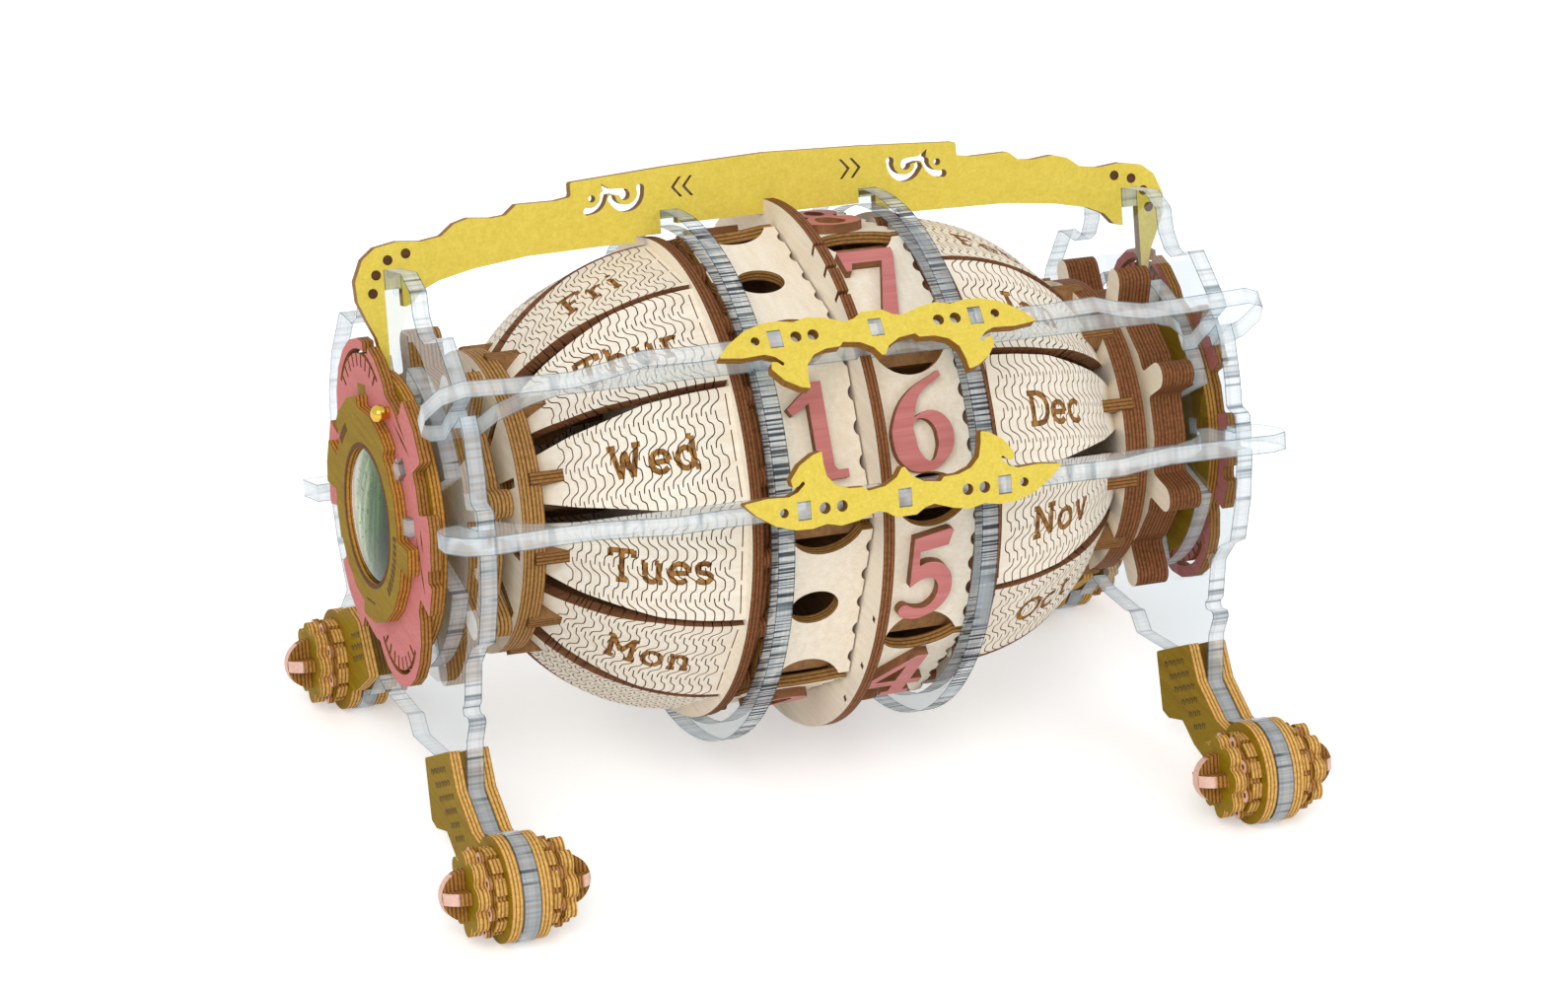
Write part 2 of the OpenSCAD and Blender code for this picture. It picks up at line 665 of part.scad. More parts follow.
module rib_profile() {
    intersection() {
        translate([dome_x, 0]) difference() {
            circle(dome_r - ply - 0.05, $fn = 120);
            circle(dome_r - ply - 7, $fn = 120);
        }
        translate([stave_x, rib_r]) square([hub_x - stave_x, dome_r]);
    }
    translate([peg_x, peg_in]) square([hub_x + ply - 0.1 - peg_x, hub_r + 0.6 - peg_in]);
}

module ribs(s) {
    color("peru") placed() to_side(s) for (i = [0 : stave_n - 1])
        radial_plate(label_a + 360 / stave_n * i, ply) rib_profile();
}

module knob(s) {
    lobe_c = lobe_r - lobe_end;
    first = knob_a[s < 0 ? 0 : 1];
    color("burlywood") placed() to_side(s) for (i = [0 : 2]) cross_plate(knob_x + i * ply, ply)
        difference() {
            soft(0.8) {
                circle(lobe_r - 6.8);
                for (k = [0 : lobe_n - 1]) rotate(180 - first - 360 / lobe_n * k) {
                    translate([0, -lobe_end]) square([lobe_c, 2 * lobe_end]);
                    translate([lobe_c, 0]) circle(lobe_end);
                }
            }
            circle(bore_r);
        }
    color("burlywood") placed() to_side(s) cross_plate(knob_x - spacer_w, spacer_w) difference() {
        circle(spacer_r);
        circle(bore_r);
    }
}

// ---- Number drums, drawn on the right-hand side ----

// A flat of a number drum as (x, along the circle), with wavy sides and hollowed ends
module facet_plan(half, x0, x1) {
    mid = (x0 + x1) / 2;
    difference() {
        translate([x0, -half]) square([x1 - x0, 2 * half]);
        for (e = [-1, 1]) translate([mid, e * (half + 3)]) circle(7);
        for (x = [x0 - 0.9, x1 + 0.9], v = [-2 : 2]) translate([x, v * half / 2.6]) circle(1.6);
    }
}

module facets(s, n, flat, a0, holes) {
    half = (flat - ply) * tan(180 / n) - 0.2;
    color("wheat") placed() to_side(s) for (i = [0 : n - 1])
        facing_plate(a0 + 360 / n * i, flat - ply, ply) difference() {
            facet_plan(half, number_x, number_out - side_gap);
            if (holes && i % 2 == 1) translate([number_x + number_w / 2, 0]) scale([1.3, 1]) circle(3.3);
        }
}

// Radius to the corners of the discs that the flats lie on
function corner_r(n, flat) = (flat - ply - 0.05) / cos(180 / n);
rod_w = 4;

module end_discs(s, n, flat, a0) {
    color("sienna") placed() to_side(s) for (x = [number_x, number_out - ply])
        cross_plate(x, ply) difference() {
            rotate(180 - a0 - 180 / n) circle(corner_r(n, flat), $fn = n);
            circle(bore_r);
            for (i = [0 : n - 1]) rotate(180 - a0 - 360 / n * (i + 0.5))
                translate([corner_r(n, flat) - 1.2 - rod_w - slot_gap / 2, -rod_w / 2 - slot_gap / 2])
                    square(rod_w + slot_gap);
        }
}

module rods(s, n, flat, a0) {
    color("peru") placed() to_side(s) for (i = [0 : n - 1])
        rotate([-a0 - 360 / n * (i + 0.5), 0, 0])
            translate([number_x, -corner_r(n, flat) + 1.2, -rod_w / 2]) cube([number_w, rod_w, rod_w]);
}

end_plate(-1);  // end_plate_left
end_plate(1);  // end_plate_right
handle();
guard_ring(-1);  // ring_left
guard_ring(1);  // ring_right
divider();
front_bar(bar_angle);  // bar_upper
front_bar(0);  // bar_lower
bar_back();
ornament(bar_angle, -1);  // ornament_upper
ornament(0, 1);  // ornament_lower
axle();
axle_collars();
trim_back(-1);  // trim_back_left
trim_back(1);  // trim_back_right
trim_plate(-1);  // trim_plate_left
trim_plate(1);  // trim_plate_right
dial_plate(-1);  // dial_plate_left
dial_plate(1);  // dial_plate_right
dial_face(-1);  // dial_face_left
dial_face(1);  // dial_face_right
lens(-1);  // lens_left
lens(1);  // lens_right
ball_pins();
dial_keys();
cladding(-1, true);  // cladding_front_left
cladding(1, true);  // cladding_front_right
cladding(-1, false);  // cladding_back_left
cladding(1, false);  // cladding_back_right
foot_gears(-1, true);  // foot_gears_front_left
foot_gears(1, true);  // foot_gears_front_right
foot_gears(-1, false);  // foot_gears_back_left
foot_gears(1, false);  // foot_gears_back_right
foot_rosettes(-1, true);  // foot_rosettes_front_left
foot_rosettes(1, true);  // foot_rosettes_front_right
foot_rosettes(-1, false);  // foot_rosettes_back_left
foot_rosettes(1, false);  // foot_rosettes_back_right
foot_caps(-1, true);  // foot_caps_front_left
foot_caps(1, true);  // foot_caps_front_right
foot_caps(-1, false);  // foot_caps_back_left
foot_caps(1, false);  // foot_caps_back_right
staves(-1);  // weekday_staves
big_disc(-1);  // weekday_big_disc
scallop_disc(-1);  // weekday_scallop_disc
hub_discs(-1);  // weekday_hub_discs
ribs(-1);  // weekday_ribs
knob(-1);  // weekday_knob
staves(1);  // month_staves
big_disc(1);  // month_big_disc
scallop_disc(1);  // month_scallop_disc
hub_discs(1);  // month_hub_discs
ribs(1);  // month_ribs
knob(1);  // month_knob
facets(-1, tens_n, tens_flat, tens_a, true);  // tens_facets
end_discs(-1, tens_n, tens_flat, tens_a);  // tens_end_discs
rods(-1, tens_n, tens_flat, tens_a);  // tens_rods
facets(1, units_n, units_flat, units_a, false);  // units_facets
end_discs(1, units_n, units_flat, units_a);  // units_end_discs
rods(1, units_n, units_flat, units_a);  // units_rods
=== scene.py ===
import json
import math

import bpy
from mathutils import Matrix, Vector


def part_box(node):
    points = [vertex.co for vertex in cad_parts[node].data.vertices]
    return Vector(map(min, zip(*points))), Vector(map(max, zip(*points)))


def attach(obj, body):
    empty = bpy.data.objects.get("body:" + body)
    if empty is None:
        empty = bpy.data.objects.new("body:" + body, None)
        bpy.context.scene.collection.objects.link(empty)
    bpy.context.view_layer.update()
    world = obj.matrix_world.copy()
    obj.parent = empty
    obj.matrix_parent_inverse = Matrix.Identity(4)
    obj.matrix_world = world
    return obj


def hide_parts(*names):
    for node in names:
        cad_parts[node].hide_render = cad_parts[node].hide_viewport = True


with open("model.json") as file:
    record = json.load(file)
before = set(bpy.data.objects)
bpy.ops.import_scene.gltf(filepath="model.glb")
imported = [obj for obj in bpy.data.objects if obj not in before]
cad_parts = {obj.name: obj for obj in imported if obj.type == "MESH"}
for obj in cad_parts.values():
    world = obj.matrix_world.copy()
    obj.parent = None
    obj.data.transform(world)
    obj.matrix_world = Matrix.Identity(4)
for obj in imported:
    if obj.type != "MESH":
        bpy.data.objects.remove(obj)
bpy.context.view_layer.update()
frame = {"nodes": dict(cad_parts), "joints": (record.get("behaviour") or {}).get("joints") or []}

mm = 0.001
axlePoint = Vector(frame["joints"][0]["pos_m"])   # every drum turns about the axle, through this point
leanBack = math.radians(18.5)                     # the whole frame leans back this far on its feet
toWorld = Matrix.Translation(axlePoint) @ Matrix.Rotation(-leanBack, 4, "X")
sheet = {"ply": 2.0, "acrylic": 3.0}              # stock thickness, mm
white = "#ffffff"


def linear(hexColour):
    # sRGB hex to the linear colour that a shader takes
    parts = [int(hexColour[i:i + 2], 16) / 255 for i in (1, 3, 5)]
    return tuple([p / 12.92 if p <= 0.04045 else ((p + 0.055) / 1.055) ** 2.4 for p in parts] + [1.0])


def setStops(marks, stops):
    # The colours along a ramp, as (position, hex colour)
    for mark, (position, colour) in zip(marks, (stops[0], stops[-1])):
        mark.position = position
        mark.color = linear(colour)
    for position, colour in stops[1:-1]:
        marks.new(position).color = linear(colour)


def addNode(owner, kind, settings=None):
    # One node. A setting is a property, a socket's own value, or the node or output that feeds the socket.
    # Two colours are mixed at sockets 6 and 7
    made = owner.node_tree.nodes.new("ShaderNode" + kind)
    for name, value in (settings or {}).items():
        if isinstance(value, bpy.types.Node):
            value = value.outputs[0]
        if name == "stops":
            setStops(made.color_ramp.elements, value)
        elif isinstance(value, bpy.types.NodeSocket):
            owner.node_tree.links.new(value, made.inputs[name])
        elif isinstance(name, int) or name in made.inputs:
            made.inputs[name].default_value = value
        else:
            setattr(made, name, value)
    return made


def blank(name):
    material = bpy.data.materials.new(name)
    material.use_nodes = True
    material.node_tree.nodes.clear()
    return material


def finished(material, shader):
    addNode(material, "OutputMaterial", {"Surface": shader})
    return material


shot = {
    "azimuth": 21.18, "elevation": 8.64, "roll": -4.1,   # degrees, against the leaning frame
    "distance": 918.3, "aim": (-0.52, 0, -5.38),         # mm, from the axle's middle
    "lens": 122.97,                                      # mm
    "clip": (0.05, 20),                                  # nearest and furthest, metres
}


def placeCamera(shot):
    azimuth, elevation, roll = [math.radians(shot[k]) for k in ("azimuth", "elevation", "roll")]
    back = Vector((-math.sin(azimuth) * math.cos(elevation), -math.cos(azimuth) * math.cos(elevation),
                   math.sin(elevation)))
    right = Vector((0, 0, 1)).cross(back).normalized()
    up = back.cross(right)
    turned = [math.cos(roll) * right + math.sin(roll) * up,
              math.cos(roll) * up - math.sin(roll) * right, back]
    place = Matrix.Translation((Vector(shot["aim"]) + back * shot["distance"]) * mm)
    facing = Matrix(turned).transposed().to_4x4()
    bpy.ops.object.camera_add()
    camera = bpy.context.object
    camera.matrix_world = toWorld @ place @ facing
    camera.data.lens = shot["lens"]
    camera.data.clip_start, camera.data.clip_end = shot["clip"]
    bpy.context.scene.camera = camera


bpy.ops.object.select_all(action="DESELECT")
placeCamera(shot)
print("camera in place")

studio = {
    "sky": 0.7, "floorGlow": 0.38, "floorSize": 12.0,   # two strengths, then metres
    # Each lamp's place in metres, power in watts and size in metres
    "lamps": {"keyLamp": ((-0.75, -1.05, 1.15), 9.8, 0.9), "fillLamp": ((1.2, -0.7, 0.9), 3.6, 1.2)},
    "lampAim": (0, 0, 0.05),
}


def lookedAt(owner):
    # 1 for what the camera sees, straight on or in a gloss or clear surface
    path = addNode(owner, "LightPath")
    seen = addNode(owner, "Math", {"operation": "MAXIMUM", 0: path.outputs["Is Camera Ray"],
                                   1: path.outputs["Is Glossy Ray"]})
    return addNode(owner, "Math", {"operation": "MAXIMUM", 0: seen, 1: path.outputs["Is Transmission Ray"]})


def paintSky(studio):
    # Even light all round, seen as plain white
    world = bpy.data.worlds.new("studioSky")
    bpy.context.scene.world = world
    world.use_nodes = True
    world.node_tree.nodes.clear()
    strength = addNode(world, "MapRange", {"To Min": studio["sky"], "To Max": 1.0, 0: lookedAt(world)})
    sky = addNode(world, "Background", {"Color": linear(white), "Strength": strength})
    addNode(world, "OutputWorld", {"Surface": sky})


def layFloor(studio):
    # White paper, bright enough to read as white and still keep a soft shadow
    bpy.ops.mesh.primitive_plane_add(size=studio["floorSize"])
    floor = bpy.context.object
    floor.name = "floor"
    sweep = blank("whitePaperSweep")
    paper = addNode(sweep, "BsdfDiffuse", {"Color": linear("#fdfdfd")})
    glow = addNode(sweep, "Math", {"operation": "MULTIPLY", 0: lookedAt(sweep), 1: studio["floorGlow"]})
    light = addNode(sweep, "Emission", {"Color": linear(white), "Strength": glow})
    shader = addNode(sweep, "AddShader", {0: paper, 1: light})
    floor.data.materials.append(finished(sweep, shader))


def hangLamp(name, place, power, size, aim):
    bpy.ops.object.light_add(type="AREA", location=place)
    lamp = bpy.context.object
    lamp.name = name
    lamp.data.energy = power
    lamp.data.size = size
    lamp.rotation_euler = (Vector(aim) - Vector(place)).to_track_quat("-Z", "Y").to_euler()


paintSky(studio)
layFloor(studio)
for lampName, (place, power, size) in studio["lamps"].items():
    hangLamp(lampName, place, power, size, studio["lampAim"])
bpy.context.scene.view_settings.view_transform = "Standard"
print("studio lit")


def flatAlong(design):
    # A direction of the leaning frame, in world axes
    return tuple(toWorld.to_3x3() @ Vector(design))


barAngle = math.radians(31)       # the upper front bar stands this far above the lower one
sideways = (1.0, 0.0, 0.0)
forwards = flatAlong((0, 1, 0))
upwards = flatAlong((0, 0, 1))
towardsBar = flatAlong((0, -math.cos(barAngle), math.sin(barAngle)))
acrossBar = flatAlong((0, math.sin(barAngle), math.cos(barAngle)))
# Where each sheet starts, in mm out from the object's middle, but ornaments out from the axle. A leg is
# given by its middle, and its faces by how far they stand from there
plateAt = {"endDiscs": 1.3, "rings": 16.65, "bigDiscs": 18.3, "hubs": 52.5, "knobs": 59.1, "ends": 66.0,
           "leg": 67.5, "legFace": 1.5, "trims": 69.0, "ornaments": 50.95}
# Sheets round the axle: how many, the angle of the first, and where they start
tensLie = {"count": 8, "first": 15, "start": 36.9}
unitsLie = {"count": 10, "first": 14, "start": 38.0}
spokeLie = {"count": 12, "first": 14.5, "start": -1.0, "spokes": True}


def noiseOver(material, perMetre, detail=3.0):
    # Noise with this many features to the metre along x, y and z
    place = addNode(material, "TexCoord")
    scaled = addNode(material, "Mapping", {"Scale": perMetre, "Vector": place.outputs["Object"]})
    return addNode(material, "TexNoise", {"Scale": 1.0, "Detail": detail, "Roughness": 0.6, "Vector": scaled})


def lieOfSheet(material, lie):
    # How far through its sheet a point is, in sheets, and 1 on the faces against 0 on the cut edges.
    # A sheet lies across one direction, or is one of several round the axle: flats or spokes
    place = addNode(material, "TexCoord")
    fromAxle = addNode(material, "VectorMath",
                       {"operation": "SUBTRACT", 0: place.outputs["Object"], 1: tuple(axlePoint)})
    if "across" in lie:
        outward = lie["across"]
        through = addNode(material, "VectorMath",
                          {"operation": "DOT_PRODUCT", 0: fromAxle, 1: outward}).outputs["Value"]
        steps = (("ABSOLUTE", 0), ("SUBTRACT", lie.get("about", 0) * mm), ("ABSOLUTE", 0))
    else:
        flat = addNode(material, "VectorMath", {"operation": "MULTIPLY", 0: fromAxle, 1: (0, 1, 1)})
        reach = addNode(material, "VectorMath", {"operation": "LENGTH", 0: flat}).outputs["Value"]
        axes = addNode(material, "SeparateXYZ", {0: fromAxle})
        forward = addNode(material, "Math", {"operation": "MULTIPLY", 0: axes.outputs["Y"], 1: -1})
        through = addNode(material, "Math", {"operation": "ARCTAN2", 0: axes.outputs["Z"], 1: forward})
        half = math.pi / lie["count"]
        steps = (("SUBTRACT", math.radians(lie["first"]) + leanBack - half), ("FLOORED_MODULO", 2 * half),
                 ("SUBTRACT", half), ("SINE" if "spokes" in lie else "COSINE", 0), ("MULTIPLY", reach))
        outward = addNode(material, "VectorMath", {"operation": "NORMALIZE", 0: flat})
        if "spokes" in lie:
            outward = addNode(material, "VectorMath", {"operation": "CROSS_PRODUCT", 0: outward, 1: sideways})
    thickness = sheet[lie.get("stock", "ply")] * mm
    for operation, amount in (*steps, ("SUBTRACT", lie["start"] * mm), ("DIVIDE", thickness)):
        through = addNode(material, "Math", {"operation": operation, 0: through, 1: amount})
    facing = addNode(material, "VectorMath",
                     {"operation": "DOT_PRODUCT", 0: place.outputs["Normal"], 1: outward}).outputs["Value"]
    facing = addNode(material, "Math", {"operation": "ABSOLUTE", 0: facing})
    onFace = addNode(material, "MapRange", {"From Min": 0.45, "From Max": 0.55, 0: facing})
    return through, onFace


def layeredEdge(material, through, look):
    # A cut edge: pale veneers and dark glue lines, scorched in fine streaks through the thickness
    part = addNode(material, "Math", {"operation": "FRACT", 0: through})
    dark, light = look["edgeDark"], look["edge"]
    layers = addNode(material, "ValToRGB", {"Fac": part, "stops": [
        (0.0, dark), (0.14, light), (0.25, light), (0.34, dark), (0.44, light),
        (0.56, light), (0.66, dark), (0.76, light), (0.88, light), (1.0, dark)]})
    scorched = addNode(material, "MapRange", {
        "From Min": 0.35, "From Max": 0.65, "To Min": look["scorch"], "To Max": 1.1,
        0: noiseOver(material, look["streaks"])})
    return addNode(material, "VectorMath", {"operation": "SCALE", 0: layers, "Scale": scorched})


def lasercutPly(name, look, lie):
    # Plywood cut by laser: clean veneer faces and scorched, layered edges
    ply = blank(name)
    through, onFace = lieOfSheet(ply, lie)
    grain = noiseOver(ply, look["grain"])
    flecks = addNode(ply, "MapRange", {
        "From Min": 0.35, "From Max": 0.65, "To Min": 1 - look["fleck"], "To Max": 1 + look["fleck"],
        0: noiseOver(ply, (1 / (look["fleckSize"] * mm),) * 3, 2.0)})
    veneer = addNode(ply, "ValToRGB",
                     {"Fac": grain, "stops": [(0.33, look["faceDark"]), (0.66, look["face"])]})
    veneer = addNode(ply, "VectorMath", {"operation": "SCALE", 0: veneer, "Scale": flecks})
    tone = addNode(ply, "Mix", {"data_type": "RGBA", "Factor": onFace, 6: layeredEdge(ply, through, look),
                                7: veneer})
    relief = addNode(ply, "Bump", {"Strength": look["relief"], "Distance": 0.1 * mm, "Height": grain})
    shader = addNode(ply, "BsdfPrincipled", {
        "Roughness": look["roughness"], "Specular IOR Level": look["gloss"],
        "Base Color": tone.outputs[2], "Normal": relief})
    return finished(ply, shader)


# Features per metre: grain lines 1 mm apart and 17 mm long, coarser than real ones so that they show
grains = {"alongAxle": (60, 900, 900), "acrossAxle": (900, 60, 900)}
# Basswood plywood, sanded and uncoated: pale, even and matt. Flecks are in mm; streaks are per
# metre, over 0.5 mm apart, and coarse for the same reason
bare = {
    "face": "#fbf1e0", "faceDark": "#f4e6cf", "grain": grains["acrossAxle"], "fleck": 0.03, "fleckSize": 0.5,
    "edge": "#b98a4e", "edgeDark": "#56341a", "streaks": (1500, 1900, 1900), "scorch": 0.74,
    "relief": 0.12, "roughness": 0.6, "gloss": 0.1,
}
# The same where the cut edge is burnt right through and its layers hardly show
burnt = dict(bare, edge="#8f5c38", edgeDark="#54301a", scorch=0.7)
# The same under gold, olive, pink and blush paint films, which are thin and let flecks show
gold = dict(bare, face="#e6cf5a", faceDark="#dfc650", edge="#a9762f", edgeDark="#5a3817", fleck=0.05,
            roughness=0.45)
olive = dict(bare, face="#9a7d12", faceDark="#8a6c0c", edge="#c98f3f", edgeDark="#5f3412", fleck=0.14,
             fleckSize=0.35)
pink = dict(bare, face="#d17f7b", faceDark="#cb7875", edge="#b07a3c", edgeDark="#5a3014", fleck=0.09,
            fleckSize=0.35)
blush = dict(bare, face="#f2cabb", faceDark="#e6b7a5", edge="#b8823f", edgeDark="#5a3416", fleck=0.06)
# Inner parts, darker all over than the bare ply
innerDark = dict(bare, face="#a37a50", faceDark="#8d6540", edge="#9c6e3c", edgeDark="#4c2c14", fleck=0.06)


def squareOn(where):
    # The lie of sheets that stand square to the axle
    return {"across": sideways, "start": plateAt[where]}


barePly = {
    "middle": lasercutPly("burntPlyDivider", burnt, {"across": sideways, "start": -1.0}),
    "hubs": lasercutPly("barePlyHubs", bare, squareOn("hubs")),
    "knobs": lasercutPly("barePlyKnobs", bare, squareOn("knobs")),
    "monthHubs": lasercutPly("burntPlyHubs", burnt, squareOn("hubs")),
    "monthKnobs": lasercutPly("burntPlyKnobs", burnt, squareOn("knobs")),
    "ends": lasercutPly("burntPlyEnds", burnt, squareOn("bigDiscs")),
    "tensFlats": lasercutPly("barePlyTensFlats", bare, tensLie),
    "unitsFlats": lasercutPly("barePlyUnitsFlats", bare, unitsLie),
}
innerDarkPly = {
    "ribs": lasercutPly("smokedPlyRibs", innerDark, spokeLie),
    "tensRods": lasercutPly("smokedPlyTensRods", innerDark, dict(tensLie, start=0.0)),
    "unitsRods": lasercutPly("smokedPlyUnitsRods", innerDark, dict(unitsLie, start=0.0)),
    "ends": lasercutPly("smokedPlyEnds", innerDark, squareOn("endDiscs")),
}
goldPly = {
    "board": lasercutPly("goldPlyBoard", gold, {"across": forwards, "start": -1.0}),
    "upper": lasercutPly("goldPlyUpperPlate", gold, {"across": towardsBar, "start": plateAt["ornaments"]}),
    "lower": lasercutPly("goldPlyLowerPlate", gold, {"across": forwards, "start": plateAt["ornaments"]}),
}
olivePly = {
    "trims": lasercutPly("olivePlyTrims", olive, squareOn("trims")),
    "feet": lasercutPly("olivePlyFeet", dict(olive, edge="#e9b765", edgeDark="#7c4a1c"),
                        {"across": sideways, "about": plateAt["leg"], "start": plateAt["legFace"]}),
}
pinkPly = lasercutPly("pinkPlyTrims", pink, squareOn("trims"))
capPly = lasercutPly("blushPlyCaps", blush, {"across": sideways, "start": 0.0})


def glossed(material, clear, roughness, ior):
    # A clear surface with a gloss on its outside, stronger where it is seen edge-on
    gloss = addNode(material, "BsdfGlossy", {"Color": linear(white), "Roughness": roughness})
    side = addNode(material, "NewGeometry")
    outside = addNode(material, "Math", {"operation": "SUBTRACT", 0: 1.0, 1: side.outputs["Backfacing"]})
    edgeOn = addNode(material, "Fresnel", {"IOR": ior})
    shine = addNode(material, "Math", {"operation": "MULTIPLY", 0: edgeOn, 1: outside})
    return addNode(material, "MixShader", {0: shine, 1: clear, 2: gloss})


# The cut edges carry a painted glow, an emission that stands in for light piped out of the faces. Bars
# are ribbed lightly along their length, plates and rings more strongly round their rims. Ribs and patches
# are features per metre, and the ribs are 0.4 to 2.4 mm apart, where a laser leaves finer ones that wouldn't
# show
acrylicStock = {"tint": "#f1f5f7", "roughness": 0.02, "ior": 1.4, "backlit": 0.4, "patches": (70, 70, 70)}
barEdge = {
    "ribs": (420, 60, 60), "detail": 1.0, "fine": 0.41, "line": "#aab4ba", "shade": "#e6ebee",
    "plain": "#f3f6f7", "ribbing": 0.3, "milk": (0.42, 0.68), "glow": 0.14, "corner": "#8d99a1",
    "cornerMilk": 0.75,
}
endEdge = {
    "ribs": (0, 900, 900), "detail": 1.0, "fine": 0.42, "line": "#76818a", "shade": "#cfd7dc",
    "plain": "#dfe5e9", "ribbing": 0.15, "milk": (0.5, 0.78), "glow": 0.12, "corner": "#7f8b94",
    "cornerMilk": 0.85,
}
# The rings' dark rib lines and greyer tones are partly laser ribs and partly painted reflection of the dark
# inside
ringEdge = {
    "ribs": (0, 2300, 2300), "detail": 0.5, "fine": 0.5, "line": "#454d54", "shade": "#bfc8cd",
    "plain": "#c4d0d8", "ribbing": 0.35, "milk": (0.5, 0.92), "glow": 0.12, "corner": "#7f8b94",
    "cornerMilk": 0.85,
}


def castAcrylic(name, look, lie):
    # Clear cast acrylic: the faces are polished, the laser-cut edges milky, finely ribbed and made bright by
    # a painted glow, with a painted highlight band across the middle and a painted grey shade line along each
    # corner
    acrylic = blank(name)
    through, onFace = lieOfSheet(acrylic, dict(lie, stock="acrylic"))
    clear = addNode(acrylic, "BsdfTransparent", {"Color": linear(acrylicStock["tint"])})
    face = glossed(acrylic, clear, acrylicStock["roughness"], acrylicStock["ior"])
    ribs = noiseOver(acrylic, look["ribs"], look["detail"])
    ribbed = addNode(acrylic, "ValToRGB", {"Fac": ribs, "stops": [
        (look["fine"] - 0.08, look["line"]), (look["fine"], look["shade"]),
        (look["fine"] + 0.06, "#fbfdfe"), (0.64, white), (0.72, look["shade"])]})
    # The ribs come and go along the edge
    patches = addNode(acrylic, "MapRange", {
        "From Min": 0.42, "From Max": 0.56, "To Min": look["ribbing"],
        0: noiseOver(acrylic, acrylicStock["patches"], 1.0)})
    ribbed = addNode(acrylic, "Mix", {"data_type": "RGBA", "Factor": patches, 6: linear(look["plain"]),
                                      7: ribbed})
    part = addNode(acrylic, "Math", {"operation": "FRACT", 0: through})
    # Painted highlight and shade across the thickness: grey lines at the corners, white in the middle
    bent = addNode(acrylic, "ValToRGB", {"Fac": part, "stops": [
        (0.0, look["corner"]), (0.04, look["corner"]), (0.075, "#f2f5f6"), (0.3, "#e9edef"), (0.36, white),
        (0.7, white), (0.76, "#edf1f3"), (0.925, "#f4f6f7"), (0.96, look["corner"]), (1.0, look["corner"])]})
    tone = addNode(acrylic, "VectorMath", {"operation": "MULTIPLY", 0: ribbed.outputs[2], 1: bent})
    skin = addNode(acrylic, "BsdfDiffuse", {"Color": tone})
    milk = addNode(acrylic, "BsdfTranslucent", {"Color": tone})
    rough = addNode(acrylic, "MixShader", {0: acrylicStock["backlit"], 1: skin, 2: milk})
    # Painted glow: the edges emit light in their own tone, as if it were piped in from the faces
    paintedGlow = addNode(acrylic, "Emission", {"Strength": look["glow"], "Color": tone})
    cloudy = addNode(acrylic, "AddShader", {0: rough, 1: paintedGlow})
    # Milkier where the ribs are, and along the corners
    offMiddle = addNode(acrylic, "Math", {"operation": "SUBTRACT", 0: part, 1: 0.5})
    offMiddle = addNode(acrylic, "Math", {"operation": "ABSOLUTE", 0: offMiddle})
    corner = addNode(acrylic, "MapRange", {
        "From Min": 0.44, "From Max": 0.46, "To Max": look["cornerMilk"], 0: offMiddle})
    share = addNode(acrylic, "MapRange", {
        "From Min": 0.58, "From Max": 0.38, "To Min": look["milk"][0], "To Max": look["milk"][1], 0: ribs})
    share = addNode(acrylic, "Math", {"operation": "MAXIMUM", 0: share, 1: corner})
    edge = addNode(acrylic, "MixShader", {0: share, 1: face, 2: cloudy})
    return finished(acrylic, addNode(acrylic, "MixShader", {0: onFace, 1: edge, 2: face}))


acrylicEnds = castAcrylic("castAcrylicEnds", endEdge, squareOn("ends"))
acrylicRings = castAcrylic("castAcrylicRings", ringEdge, squareOn("rings"))
acrylicUpper = castAcrylic("castAcrylicUpperBar", barEdge, {"across": acrossBar, "start": -1.5})
acrylicLower = castAcrylic("castAcrylicLowerBars", barEdge, {"across": upwards, "start": -1.5})

lensLook = {
    "reach": 11.5, "roughness": 0.03, "ior": 1.35,   # reach in mm, from the axle to the rim
    # Painted glints: noise streaks that shift the tint, standing in for highlights
    "paintedGlints": (0, 420, 22), "paintedGlintShift": 0.16,      # features per metre, and how far each moves the tint
    # Painted shade: the tint runs from dark green at the front to white at the back
    "tints": [(0.08, "#7c9c8a"), (0.3, "#98ba8d"), (0.53, "#aecb9e"), (0.6, "#f0f7ea"), (0.9, white)],
}


def greenLens(look):
    # Moulded glass with a green tint, painted deepest towards the front and pale at the back, with painted
    # glint streaks
    lens = blank("greenTintedLens")
    place = addNode(lens, "TexCoord")
    axes = addNode(lens, "SeparateXYZ", {0: place.outputs["Object"]})
    depth = addNode(lens, "MapRange", {
        "From Min": axlePoint.y - look["reach"] * mm, "From Max": axlePoint.y + look["reach"] * mm,
        0: axes.outputs["Y"]})
    paintedGlints = addNode(lens, "MapRange", {
        "From Min": 0.3, "From Max": 0.7, "To Min": -look["paintedGlintShift"], "To Max": look["paintedGlintShift"],
        0: noiseOver(lens, look["paintedGlints"], 1.0)})
    depth = addNode(lens, "Math", {"operation": "ADD", 0: depth, 1: paintedGlints})
    tint = addNode(lens, "ValToRGB", {"Fac": depth, "stops": look["tints"]})
    clear = addNode(lens, "BsdfTransparent", {"Color": tint})
    return finished(lens, glossed(lens, clear, look["roughness"], look["ior"]))


def polishedBrass():
    # Polished brass: a smooth yellow metal
    brass = blank("polishedBrass")
    shader = addNode(brass, "BsdfPrincipled",
                     {"Base Color": linear("#d8b24a"), "Metallic": 1.0, "Roughness": 0.18})
    return finished(brass, shader)


